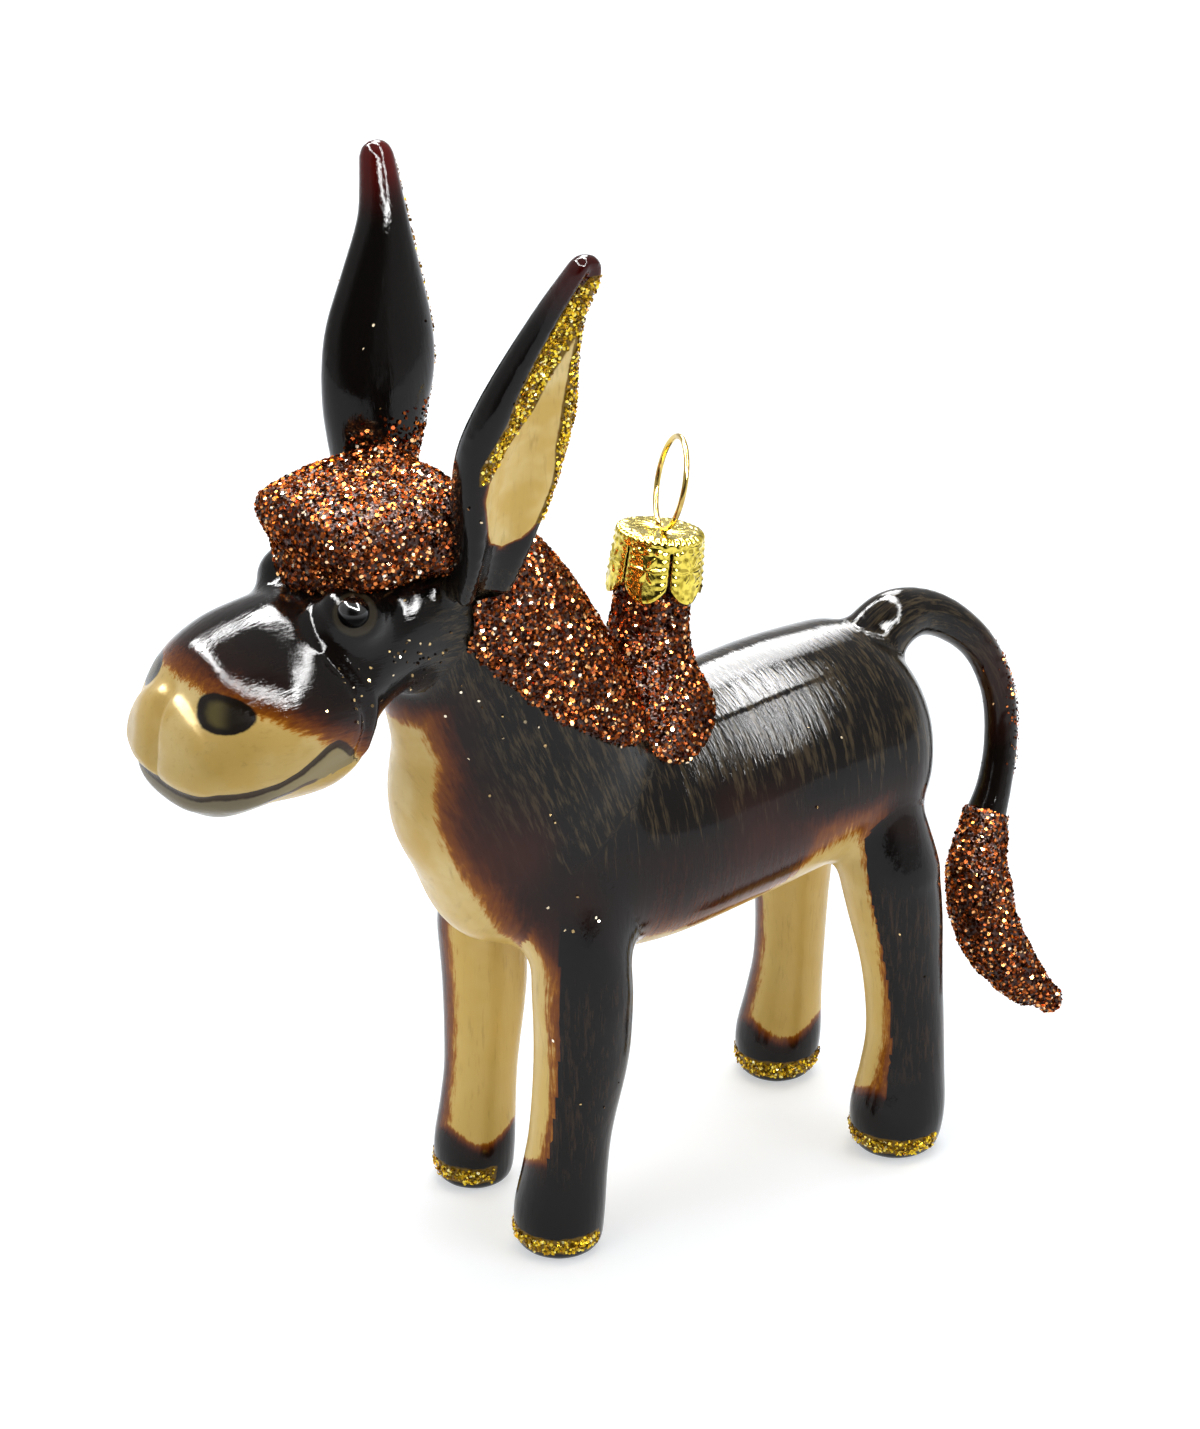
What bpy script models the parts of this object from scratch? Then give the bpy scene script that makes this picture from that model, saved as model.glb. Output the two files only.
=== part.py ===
"""Blown-glass Christmas-tree ornament in the shape of a donkey, with its metal hanger.

The donkey faces -X, its left side is -Y, and it stands on z = 0. Sizes are in millimetres and are turned
into metres where a mesh is made. Every node is one closed solid. Where two nodes meet, one of them is cut
by a copy of the other that is GAP larger, so a clearance of GAP is left between them.
"""
import math

import bmesh
import bpy
import numpy as np
from mathutils import Matrix, Vector

MM = 0.001
GAP = 0.3                       # clearance between neighbouring solids
DOME_RINGS = 4                  # rings that round off a domed end
FLAT_END = 0.15                 # radius of the small flat at a dome's tip, as a share of the end's radius

# Stations of a loft: x, y, z of the centre, half width across, half depth, squareness of the outline
# (2 is an ellipse, more is boxier) and how far its upper side narrows (0 is not at all).
TRUNK = (
    (-14.8, 0, 51.2, 11.6, 12.6, 2.1, 0.00),
    (-7.0, 0, 49.8, 14.2, 14.5, 2.1, 0.00),
    (3.0, 0, 48.5, 14.9, 14.8, 2.1, 0.00),
    (14.0, 0, 49.2, 14.7, 14.4, 2.1, 0.00),
    (26.0, 0, 50.7, 14.5, 14.1, 2.1, 0.00),
    (34.5, 0, 51.0, 14.0, 13.9, 2.1, 0.00),
)
TRUNK_DOMES = (8.8, 9.8)

NECK = (
    (-8.0, 0, 50.0, 13.0, 15.5, 2.1, 0.00),
    (-11.2, 0, 58.8, 13.6, 16.4, 2.1, 0.12),
    (-13.7, 0, 68.4, 12.3, 14.1, 2.1, 0.24),
    (-17.6, 0, 77.8, 11.0, 12.6, 2.1, 0.28),
    (-22.3, 0, 85.5, 9.6, 11.0, 2.1, 0.20),
)
NECK_DOME = 3.0

# The head's sections stand upright: x, height of the top, height of the underside, half width,
# squareness and narrowing of the top.
HEAD = (
    (-56.4, 81.0, 67.9, 9.2, 2.5, 0.34),
    (-53.4, 84.7, 66.3, 11.4, 2.4, 0.22),
    (-49.0, 86.9, 66.5, 12.5, 2.3, 0.16),
    (-44.5, 88.0, 66.1, 12.7, 2.25, 0.16),
    (-40.6, 88.6, 66.2, 12.3, 2.2, 0.16),
    (-37.6, 89.4, 67.8, 11.5, 2.2, 0.14),
    (-35.0, 90.8, 72.2, 10.6, 2.2, 0.10),
    (-30.0, 92.4, 75.0, 10.4, 2.1, 0.06),
    (-25.0, 92.6, 76.0, 9.6, 2.1, 0.00),
)
HEAD_DOMES = (2.8, 4.5)
BROW_CENTRE = (-36.9, 6.2, 86.9)
BROW_RADIUS = 4.4
EYES = {"eye_left": (-38.4, -9.0, 89.2), "eye_right": (-37.2, 9.6, 87.0)}
EYE_RADIUS = 1.8

# The mouth: height of the cut between the lips at each x, from the front back to the jaw's hinge.
MOUTH = ((-64.0, 72.0), (-57.0, 72.6), (-51.0, 73.0), (-47.5, 74.3), (-44.4, 76.2), (-42.0, 75.8),
         (-39.5, 73.0), (-37.2, 68.0), (-35.0, 61.0), (-26.0, 58.0), (-12.0, 58.0))

EAR = (
    (-22.7, 9.5, 88.0, 3.9, 3.8, 2.0, 0.00),
    (-22.6, 12.2, 94.5, 4.7, 4.5, 2.0, 0.00),
    (-21.8, 13.3, 101.0, 6.2, 4.5, 2.0, 0.00),
    (-20.9, 13.9, 106.0, 6.9, 4.2, 2.0, 0.00),
    (-19.8, 15.1, 111.0, 6.5, 3.7, 2.0, 0.00),
    (-18.6, 16.4, 116.7, 4.8, 3.1, 2.0, 0.00),
    (-17.3, 18.2, 122.4, 3.0, 2.6, 2.0, 0.00),
    (-16.1, 21.2, 128.1, 2.1, 2.1, 2.0, 0.00),
)
EAR_TIP_DOME = 2.3
EAR_SCOOP = 0.78                # depth of the hollow in the ear's outward side, as a share of its depth
EAR_TURN = 0.06                 # how far the hollow is turned towards the tail

FORELOCK = (
    (-37.7, 0, 94.2, 10.0, 5.5, 3.0, 0.00),
    (-31.5, 0, 94.9, 11.2, 6.2, 2.8, 0.00),
    (-24.0, 0, 94.6, 11.4, 6.7, 2.8, 0.00),
)
FORELOCK_DOMES = (2.8, 3.2)
FORELOCK_AXIS = (0.95, 0, 0.31) # leans the front face out over the brow
FORELOCK_SIDE = (0, 1, -0.11)   # hangs a little lower on the right

MANE_HEIGHT = 0.6               # how far the glitter crust stands out from the glass
# Lower border of the mane in side view: x and z.
MANE_BORDER = ((-29.0, 88.5), (-27.6, 85.8), (-21.3, 77.6), (-13.5, 69.9), (-5.0, 64.4), (1.0, 62.7),
               (6.6, 62.4), (11.0, 63.6), (13.0, 66.0))

# Stations of the legs and the tail: x, distance from the middle plane, z and radius.
FRONT_LEG = (
    (-12.1, 9.4, 0.0, 4.8),
    (-12.0, 9.4, 5.0, 5.1),
    (-11.3, 9.6, 10.5, 4.75),
    (-10.6, 9.9, 16.0, 4.65),
    (-9.6, 10.6, 26.0, 5.3),
    (-9.8, 11.0, 37.0, 5.6),
    (-9.8, 10.2, 46.0, 5.4),
)
HIND_LEG = (
    (35.0, 12.7, 0.0, 5.0),
    (35.2, 12.7, 5.0, 5.6),
    (35.9, 12.6, 10.5, 5.0),
    (36.4, 12.3, 16.0, 4.6),
    (36.2, 11.6, 24.0, 4.8),
    (35.4, 10.8, 32.0, 5.6),
    (34.2, 9.6, 42.0, 6.2),
)
# Each leg: its stations, side, thickness compared with the stations, and shift of the foot in x and y.
LEGS = {
    "front_left": (FRONT_LEG, -1, 1.07, (0.0, 0.0)),
    "front_right": (FRONT_LEG, 1, 0.97, (0.0, 0.0)),
    "hind_left": (HIND_LEG, -1, 1.04, (0.0, 0.0)),
    "hind_right": (HIND_LEG, 1, 0.96, (-1.5, -2.3)),
}
LEG_TOP = 34.0                  # height above which a foot's shift has faded out
HOOF_HEIGHT = 9.0
HOOF_FLAT = 4.3                 # radius of the flat under a hoof
HOOF_ROUNDING = 0.9

TAIL = (
    (38.0, 0.0, 61.0, 4.2),
    (42.0, 0.0, 63.9, 3.7),
    (46.5, 0.0, 63.9, 2.9),
    (50.8, -0.6, 61.6, 2.5),
    (54.4, -1.6, 57.6, 2.2),
    (56.2, -3.0, 52.0, 2.1),
    (55.8, -4.4, 46.0, 2.1),
    (53.8, -6.0, 41.0, 2.2),
    (51.4, -7.2, 36.8, 2.7),
    (49.7, -8.4, 31.6, 3.5),
    (50.0, -9.4, 26.2, 3.7),
    (51.6, -10.4, 21.2, 3.4),
    (54.6, -11.6, 16.6, 2.6),
    (58.6, -12.8, 12.6, 1.2),
)
TAIL_PIECES = {"tail_root": (0.0, 0.30), "tail_shaft": (0.308, 0.592), "tail_tuft": (0.60, 1.0)}

# The hanger's own frame has its origin at the middle of the cap's top, with +Z along the cap's axis.
HANGER_TOP = (8.6, 0.3, 84.2)
HANGER_LEAN = (0.17, 0.05, 1.0)
STEM_TOP = -2.8
STEM = ((9.6, -28.0), (8.6, -20.5), (5.9, -16.0), (4.6, -12.0), (4.35, -8.0), (4.3, STEM_TOP))
CAP_RADIUS = 5.15
CAP_FLARE = 0.35
CAP_WALL = 0.5
CAP_HEIGHT = 5.7                # from the top to the petals' shoulders
PETALS = 6
PETAL_POINT = 2.0               # how far each petal's point hangs below its shoulders
PETAL_TURN = math.radians(12.4)
WIRE = 0.35                     # radius of the hanger's wire
RING_RADIUS = 5.3
LEG_SPREAD = 1.2                # the wire's two legs enter the cap this far from its middle
LEG_DEPTH = 1.7
RING_TURN = math.radians(70)
RING_LEAN = 0.13                # how far the ring leans towards the tail, beyond the cap's lean

LACQUER = (0.045, 0.028, 0.018)
CREAM = (0.62, 0.44, 0.20)
COPPER = (0.24, 0.075, 0.03)
GOLD = (0.62, 0.44, 0.12)
BLACK = (0.01, 0.009, 0.009)
FINISHES = {                    # colour, roughness, metallic
    "lacquered glass": (LACQUER, 0.12, 0.0),
    "cream glass": (CREAM, 0.2, 0.0),
    "copper glitter": (COPPER, 0.45, 0.6),
    "black glass": (BLACK, 0.05, 0.0),
    "gold tin": (GOLD, 0.25, 1.0),
    "gold wire": (GOLD, 0.2, 1.0),
}


def clear_scene():
    for item in list(bpy.data.objects):
        bpy.data.objects.remove(item, do_unlink=True)


def smooth_rows(rows, count):
    """Catmull-Rom curve through the rows, read at evenly spaced places."""
    rows = np.array(rows, float)
    padded = np.vstack([2 * rows[0] - rows[1], rows, 2 * rows[-1] - rows[-2]])
    curve = []
    for place in np.linspace(0, len(rows) - 1, count):
        start = min(int(place), len(rows) - 2)
        t = place - start
        a, b, c, d = padded[start:start + 4]
        curve.append(0.5 * (2 * b + (c - a) * t + (2 * a - 5 * b + 4 * c - d) * t ** 2
                            + (3 * b - a - 3 * c + d) * t ** 3))
    return np.array(curve)


def signed_power(value, power):
    return math.copysign(abs(value) ** power, value)


def outline(sides, wide, deep, square, pinch, scoop):
    """Points (across, up) round one section."""
    points = []
    for k in range(sides):
        angle = 2 * math.pi * k / sides
        across = signed_power(math.cos(angle), 2 / square)
        up = signed_power(math.sin(angle), 2 / square)
        if up > 0:
            across *= 1 - pinch * up
            up *= 1 - scoop * up ** 4
        points.append((wide * across, deep * up))
    return points


def new_object(name, mesh):
    data = bpy.data.meshes.new(name)
    mesh.to_mesh(data)
    mesh.free()
    item = bpy.data.objects.new(name, data)
    bpy.context.collection.objects.link(item)
    return item


def skin_rings(name, rings):
    """Closed mesh over rings of the same number of points, with flat ends."""
    mesh = bmesh.new()
    rows = [[mesh.verts.new(Vector(point) * MM) for point in ring] for ring in rings]
    for lower, upper in zip(rows, rows[1:]):
        for k in range(len(lower)):
            after = (k + 1) % len(lower)
            mesh.faces.new((lower[k], lower[after], upper[after], upper[k]))
    mesh.faces.new(reversed(rows[0]))
    mesh.faces.new(rows[-1])
    bmesh.ops.recalc_face_normals(mesh, faces=mesh.faces)
    return new_object(name, mesh)


def loft(name, stations, sides, steps, domes=(0, 0), grow=0.0, side=(0, 1, 0), scoop=0.0, axis=None):
    """Solid through the stations, with a dome of the given length at each end, or a flat end for 0.

    The sections stand square to the path, or square to axis where one is given.
    """
    path = smooth_rows(stations, steps)
    tangents = np.gradient(path[:, :3], axis=0) if axis is None else np.tile(axis, (steps, 1))
    tangents = tangents / np.linalg.norm(tangents, axis=1)[:, None]
    side = np.array(side, float)
    rings = []

    def add_ring(row, tangent, shift, shrink):
        across = side - tangent * (side @ tangent)
        across = across / np.linalg.norm(across)
        up = np.cross(tangent, across)
        middle = row[:3] + tangent * shift
        flat = outline(sides, (row[3] + grow) * shrink, (row[4] + grow) * shrink, row[5], row[6], scoop)
        rings.append([middle + across * a + up * b for a, b in flat])

    angles = np.linspace(0, math.acos(FLAT_END), DOME_RINGS + 1)[1:]
    if domes[0]:
        for angle in reversed(angles):
            add_ring(path[0], tangents[0], -(domes[0] + grow) * math.sin(angle), math.cos(angle))
    for row, tangent in zip(path, tangents):
        add_ring(row, tangent, 0, 1)
    if domes[1]:
        for angle in angles:
            add_ring(path[-1], tangents[-1], (domes[1] + grow) * math.sin(angle), math.cos(angle))
    return skin_rings(name, rings)


def round_stations(rows):
    return [(x, y, z, radius, radius, 2.0, 0.0) for x, y, z, radius in rows]


def ball(name, centre, radius, segments=12, rings=8):
    mesh = bmesh.new()
    bmesh.ops.create_uvsphere(mesh, u_segments=segments, v_segments=rings, radius=radius * MM)
    bmesh.ops.translate(mesh, verts=mesh.verts, vec=Vector(centre) * MM)
    return new_object(name, mesh)


def prism(name, border, height, half_width):
    """Solid above a border of (x, z) points, as wide as the object, up to the given height."""
    front = [(x, -half_width, z) for x, z in border]
    back = [(x, half_width, z) for x, z in border]
    over = [(border[-1][0], height), (border[0][0], height)]
    front += [(x, -half_width, z) for x, z in over]
    back += [(x, half_width, z) for x, z in over]
    return skin_rings(name, [front, back])


def combine(item, other, operation):
    """Boolean of two objects, applied; the second one is used up."""
    modifier = item.modifiers.new(operation, "BOOLEAN")
    modifier.object = other
    modifier.operation = operation
    modifier.solver = "EXACT"
    done = item.evaluated_get(bpy.context.evaluated_depsgraph_get())
    mesh = bpy.data.meshes.new_from_object(done)
    item.modifiers.clear()
    item.data = mesh
    bpy.data.objects.remove(other, do_unlink=True)
    return item


def cut(item, *others):
    for other in others:
        combine(item, other, "DIFFERENCE")


# --- whole shapes, each GROW larger when it serves as a cutter ---

def whole_trunk(name, grow=0.0):
    return loft(name, TRUNK, 24, 11, TRUNK_DOMES, grow)


def whole_neck(name, grow=0.0):
    return loft(name, NECK, 24, 8, (0, NECK_DOME), grow)


def whole_head(name, grow=0.0):
    rows = [(x, 0, (top + low) / 2, wide, (top - low) / 2, square, pinch)
            for x, top, low, wide, square, pinch in HEAD]
    head = loft(name, rows, 24, 15, HEAD_DOMES, grow, axis=(1, 0, 0))
    x, y, z = BROW_CENTRE
    for turn in (-1, 1):
        combine(head, ball("brow", (x, turn * y, z), BROW_RADIUS + grow), "UNION")
    return head


def whole_ear(name, turn, grow=0.0):
    rows = [(x, turn * y, z, *rest) for x, y, z, *rest in EAR]
    return loft(name, rows, 16, 13, (grow, EAR_TIP_DOME), grow, side=(turn, -EAR_TURN, 0), scoop=EAR_SCOOP)


def whole_forelock(name, grow=0.0):
    return loft(name, FORELOCK, 18, 6, FORELOCK_DOMES, grow, side=FORELOCK_SIDE, axis=FORELOCK_AXIS)


def leg_path(which):
    """The leg's centre line and radius from floor to trunk, with its foot shifted."""
    rows, turn, thickness, (shift_x, shift_y) = LEGS[which]
    path = []
    for x, y, z, radius in smooth_rows(rows, 60):
        fade = max(0.0, 1 - z / LEG_TOP) ** 0.7
        path.append((x + shift_x * fade, turn * y + shift_y * fade, z, radius * thickness))
    return np.array(path)


def whole_leg(name, which, grow=0.0):
    path = leg_path(which)
    return loft(name, round_stations(path[path[:, 2] > HOOF_HEIGHT + GAP / 2]), 16, 11, (0, grow), grow)


def whole_hoof(name, which):
    path = leg_path(which)
    foot = path[0].copy()
    foot[3] = HOOF_FLAT
    wall = path[(path[:, 2] > HOOF_ROUNDING) & (path[:, 2] < HOOF_HEIGHT - GAP / 2)]
    rows = np.vstack([foot, wall[:: max(1, len(wall) // 4)], wall[-1]])
    return loft(name, round_stations(rows), 16, len(rows), axis=(0, 0, 1))


def above_mouth(name, shift=0.0):
    return prism(name, [(x, z + shift) for x, z in smooth_rows(MOUTH, 21)], 110, 20)


def above_mane_border(name, shift=0.0):
    return prism(name, [(x, z + shift) for x, z in smooth_rows(MANE_BORDER, 19)], 110, 20)


def hanger_matrix():
    """From the hanger's own frame to the world's."""
    lean = Vector(HANGER_LEAN).normalized()
    turn = Vector((0, 0, 1)).rotation_difference(lean).to_matrix().to_4x4()
    return Matrix.Translation(Vector(HANGER_TOP) * MM) @ turn


def turned(name, profile, sides):
    """Solid of revolution from (radius, height) pairs; a height may be a function of the angle."""
    rings = []
    for radius, height in profile:
        ring = []
        for k in range(sides):
            angle = 2 * math.pi * k / sides
            level = height(angle) if callable(height) else height
            ring.append((radius * math.cos(angle), radius * math.sin(angle), level))
        rings.append(ring)
    item = skin_rings(name, rings)
    item.matrix_world = hanger_matrix()
    return item


# --- the nodes ---

def make_trunk():
    trunk = whole_trunk("trunk")
    cut(trunk, above_mane_border("cutter", -GAP))


def make_neck():
    neck = whole_neck("neck")
    cut(neck, whole_trunk("cutter", GAP), whole_head("cutter", GAP), above_mane_border("cutter", -GAP))
    for which in ("front_left", "front_right"):
        cut(neck, whole_leg("cutter", which, GAP))
    for turn in (-1, 1):
        cut(neck, whole_ear("cutter", turn, GAP))


def make_mane():
    mane = whole_neck("mane", MANE_HEIGHT)
    combine(mane, whole_trunk("cutter", MANE_HEIGHT), "UNION")
    combine(mane, above_mane_border("cutter"), "INTERSECT")
    cut(mane, whole_head("cutter", GAP), whole_forelock("cutter", GAP))
    for turn in (-1, 1):
        cut(mane, whole_ear("cutter", turn, GAP))


def make_head():
    head = whole_head("head")
    jaw = whole_head("jaw")
    cut(jaw, above_mouth("cutter", -GAP))
    combine(head, above_mouth("cutter"), "INTERSECT")
    for name, centre in EYES.items():
        cut(head, ball("cutter", centre, EYE_RADIUS + GAP))
        ball(name, centre, EYE_RADIUS)


def make_ears_and_forelock():
    for name, turn in (("ear_left", -1), ("ear_right", 1)):
        cut(whole_ear(name, turn), whole_head("cutter", GAP))
    forelock = whole_forelock("forelock")
    cut(forelock, whole_head("cutter", GAP), whole_ear("cutter", -1, GAP), whole_ear("cutter", 1, GAP))


def make_legs():
    for which in LEGS:
        cut(whole_leg("leg_" + which, which), whole_trunk("cutter", GAP))
        whole_hoof("hoof_" + which, which)


def make_tail():
    path = smooth_rows(TAIL, 400)
    for name, (start, end) in TAIL_PIECES.items():
        rows = path[int(start * 399):int(end * 399) + 1]
        tip_dome = 0.8 if end == 1 else 0
        piece = loft(name, round_stations(rows), 10, 10, (0, tip_dome))
        if start == 0:
            cut(piece, whole_trunk("cutter", GAP))


def make_stem():
    stem = turned("hanger_stem", STEM, 20)
    cut(stem, whole_neck("cutter", MANE_HEIGHT + GAP), whole_trunk("cutter", MANE_HEIGHT + GAP))


def petal_edge(angle):
    """Height of the cap's lower edge: a blunt point in the middle of each petal."""
    place = ((angle - PETAL_TURN) * PETALS / (2 * math.pi)) % 1
    return -CAP_HEIGHT - PETAL_POINT * math.sin(math.pi * place) ** 0.8


def make_cap():
    """Thin cup over the stem, with six pointed petals and two holes for the wire."""
    low = CAP_RADIUS + CAP_FLARE
    profile = ((CAP_RADIUS - 0.7, 0.0), (CAP_RADIUS, -0.7), (low, petal_edge), (low - CAP_WALL, petal_edge),
               (CAP_RADIUS - CAP_WALL, -CAP_WALL))
    cap = turned("hanger_cap", profile, 6 * PETALS)
    for end in (-1, 1):
        hole = turned("cutter", ((WIRE + GAP, -1.5), (WIRE + GAP, 1.0)), 12)
        hole.matrix_world = hanger_matrix() @ Matrix.Translation(
            Vector((end * LEG_SPREAD * math.cos(RING_TURN), end * LEG_SPREAD * math.sin(RING_TURN), 0)) * MM)
        cut(cap, hole)


def make_wire():
    """Ring of wire whose two ends run down through the cap."""
    open_angle = math.asin(LEG_SPREAD / RING_RADIUS)
    middle = RING_RADIUS * math.cos(open_angle) + 0.3
    points = [(-LEG_SPREAD, -LEG_DEPTH), (-LEG_SPREAD, -LEG_DEPTH / 2)]
    count = 26
    for k in range(count + 1):
        angle = -math.pi / 2 - open_angle - (2 * math.pi - 2 * open_angle) * k / count
        points.append((RING_RADIUS * math.cos(angle), middle + RING_RADIUS * math.sin(angle)))
    points += [(LEG_SPREAD, -LEG_DEPTH / 2), (LEG_SPREAD, -LEG_DEPTH)]
    curve = bpy.data.curves.new("hanger_wire", "CURVE")
    curve.dimensions = "3D"
    curve.bevel_depth = WIRE * MM
    curve.bevel_resolution = 1
    curve.use_fill_caps = True
    spline = curve.splines.new("POLY")
    spline.points.add(len(points) - 1)
    for point, (along, height) in zip(spline.points, points):
        lean = RING_LEAN * max(height, 0.0)
        place = Vector((along * math.cos(RING_TURN) + lean, along * math.sin(RING_TURN), height))
        point.co = (*(place * MM), 1)
    item = bpy.data.objects.new("hanger_wire", curve)
    item.matrix_world = hanger_matrix()
    bpy.context.collection.objects.link(item)


def finish_of(name):
    if name.startswith("eye"):
        return "black glass"
    if name in ("forelock", "mane", "hanger_stem", "tail_tuft"):
        return "copper glitter"
    if name == "hanger_cap":
        return "gold tin"
    if name == "hanger_wire":
        return "gold wire"
    return "cream glass" if name == "jaw" else "lacquered glass"


def paint():
    for name, (colour, roughness, metallic) in FINISHES.items():
        material = bpy.data.materials.new(name)
        material.use_nodes = True
        shader = material.node_tree.nodes["Principled BSDF"]
        shader.inputs["Base Color"].default_value = (*colour, 1)
        shader.inputs["Roughness"].default_value = roughness
        shader.inputs["Metallic"].default_value = metallic
    for item in bpy.data.objects:
        item.data.materials.clear()
        item.data.materials.append(bpy.data.materials[finish_of(item.name)])
        if item.type == "MESH":
            item.data.shade_smooth()
            item.data.set_sharp_from_angle(angle=math.radians(40))


def main():
    clear_scene()
    make_trunk()
    make_neck()
    make_mane()
    make_head()
    make_ears_and_forelock()
    make_legs()
    make_tail()
    make_stem()
    make_cap()
    make_wire()
    paint()


main()
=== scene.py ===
"""Looks for the blown-glass donkey ornament.

One lacquered glass skin stands for the glass solids, so that no seam shows. Glitter crusts of small foil
flakes cover the forelock, the mane, the hanger's stem and the tail's tuft. Two bead eyes, an embossed tin
cap and a wire ring finish it. The donkey faces -x, and its left side is -y. Shapes are worked out in
millimetres and turned into metres where a mesh is made.
"""

import math

import bmesh
import bpy
import numpy as np
from bpy.props import FloatProperty, FloatVectorProperty, PointerProperty
from mathutils import Matrix, Vector
from mathutils.bvhtree import BVHTree
from mathutils.kdtree import KDTree


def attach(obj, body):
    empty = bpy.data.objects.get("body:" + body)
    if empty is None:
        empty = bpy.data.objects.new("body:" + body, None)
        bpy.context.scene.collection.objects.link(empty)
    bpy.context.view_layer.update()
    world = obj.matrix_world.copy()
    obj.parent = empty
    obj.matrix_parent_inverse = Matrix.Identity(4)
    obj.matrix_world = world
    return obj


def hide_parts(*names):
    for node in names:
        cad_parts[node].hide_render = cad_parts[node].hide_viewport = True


bl_info = {
    "name": "Blown-glass donkey ornament",
    "version": (1, 0, 0),
    "blender": (4, 5, 0),
    "location": "3D View > Sidebar > Donkey",
    "description": "Builds the finish of a blown-glass donkey ornament round its solids",
    "category": "Object",
}

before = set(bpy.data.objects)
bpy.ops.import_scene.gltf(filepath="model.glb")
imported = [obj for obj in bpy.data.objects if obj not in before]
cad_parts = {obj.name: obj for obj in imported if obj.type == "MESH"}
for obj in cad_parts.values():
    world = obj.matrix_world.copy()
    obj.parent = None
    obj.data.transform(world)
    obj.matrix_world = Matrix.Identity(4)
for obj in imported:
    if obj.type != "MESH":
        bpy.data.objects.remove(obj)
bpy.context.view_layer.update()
MM = 0.001
SEED = 7

# ---------------------------------------------------------------------------------------------------------
# Shapes of the glass, in millimetres. Stations: x, y, z, half width, half depth, squareness, narrowing.
# ---------------------------------------------------------------------------------------------------------
TRUNK = (
    (-14.8, 0, 51.2, 11.6, 12.6, 2.1, 0.00),
    (-7.0, 0, 49.8, 14.2, 14.5, 2.1, 0.00),
    (3.0, 0, 48.5, 14.9, 14.8, 2.1, 0.00),
    (14.0, 0, 49.2, 14.7, 14.4, 2.1, 0.00),
    (26.0, 0, 50.7, 14.5, 14.1, 2.1, 0.00),
    (34.5, 0, 51.0, 14.0, 13.9, 2.1, 0.00),
)
TRUNK_DOMES = (8.8, 9.8)
NECK = (
    (-8.0, 0, 50.0, 13.0, 15.5, 2.1, 0.00),
    (-11.2, 0, 58.8, 13.6, 16.4, 2.1, 0.12),
    (-13.7, 0, 68.4, 12.3, 14.1, 2.1, 0.24),
    (-17.6, 0, 77.8, 11.0, 12.6, 2.1, 0.28),
    (-22.3, 0, 85.5, 9.6, 11.0, 2.1, 0.20),
)
NECK_DOME = 3.0
# Upright sections of the head: x, top, underside, half width, squareness, narrowing.
HEAD = (
    (-56.4, 81.0, 67.9, 9.2, 2.5, 0.34),
    (-53.4, 84.7, 66.3, 11.4, 2.4, 0.22),
    (-49.0, 86.9, 66.5, 12.5, 2.3, 0.16),
    (-44.5, 88.0, 66.1, 12.7, 2.25, 0.16),
    (-40.6, 88.6, 66.2, 12.3, 2.2, 0.16),
    (-37.6, 89.4, 67.8, 11.5, 2.2, 0.14),
    (-35.0, 90.8, 72.2, 10.6, 2.2, 0.10),
    (-30.0, 92.4, 75.0, 10.4, 2.1, 0.06),
    (-25.0, 92.6, 76.0, 9.6, 2.1, 0.00),
)
HEAD_DOMES = (2.8, 4.5)
BROW_CENTRE = (-36.9, 6.2, 86.9)
BROW_RADIUS = 4.4
EYE_RADIUS = 1.8
EYES = {"eye_left": (-38.4, -9.0, 89.2), "eye_right": (-37.2, 9.6, 87.0)}
EYE_RING_SHIFT = (0.2, 0.0, -0.3)
EAR = (
    (-22.7, 9.5, 88.0, 3.9, 3.8, 2.0, 0.00),
    (-22.6, 12.2, 94.5, 4.7, 4.5, 2.0, 0.00),
    (-21.8, 13.3, 101.0, 6.2, 4.5, 2.0, 0.00),
    (-20.9, 13.9, 106.0, 6.9, 4.2, 2.0, 0.00),
    (-19.8, 15.1, 111.0, 6.5, 3.7, 2.0, 0.00),
    (-18.6, 16.4, 116.7, 4.8, 3.1, 2.0, 0.00),
    (-17.3, 18.2, 122.4, 3.0, 2.6, 2.0, 0.00),
    (-16.1, 21.2, 128.1, 2.1, 2.1, 2.0, 0.00),
)
# Height, then the cream's front and rear edge and the gold's front edge, as shares of the half width there.
EAR_MARKS = ((94.6, -0.12, -0.12, 0.80), (95.6, 0.24, -0.46, 0.80), (97.0, 0.44, -0.66, 0.80),
             (99.0, 0.53, -0.72, 0.80), (102.0, 0.66, -0.74, 0.80), (104.0, 0.60, -0.70, 0.80),
             (106.0, 0.40, -0.62, 0.82), (111.1, -0.04, -0.56, 0.60), (115.0, -0.20, -0.60, 0.62),
             (119.2, -0.52, -0.64, 0.58), (120.5, -0.66, -0.66, 0.52), (124.0, -0.72, -0.72, 0.34),
             (129.0, -0.80, -0.80, -0.30))
FAR_EAR_GOLD = 0.45             # the gold's front edge reaches no further than this on the right ear
EAR_TIP_DOME = 2.3
EAR_SCOOP = 0.78
EAR_TURN = 0.06
FORELOCK = (
    (-37.7, 0, 94.2, 10.0, 5.5, 3.0, 0.00),
    (-31.5, 0, 94.9, 11.2, 6.2, 2.8, 0.00),
    (-24.0, 0, 94.6, 11.4, 6.7, 2.8, 0.00),
)
FORELOCK_DOMES = (2.8, 3.2)
FORELOCK_AXIS = (0.95, 0, 0.31)
FORELOCK_SIDE = (0, 1, -0.11)
MANE_BORDER = ((-29.0, 88.5), (-27.6, 85.8), (-21.3, 77.6), (-13.5, 69.9), (-5.0, 64.4), (1.0, 62.7),
               (6.6, 62.4), (11.0, 63.6), (13.0, 66.0))
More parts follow.
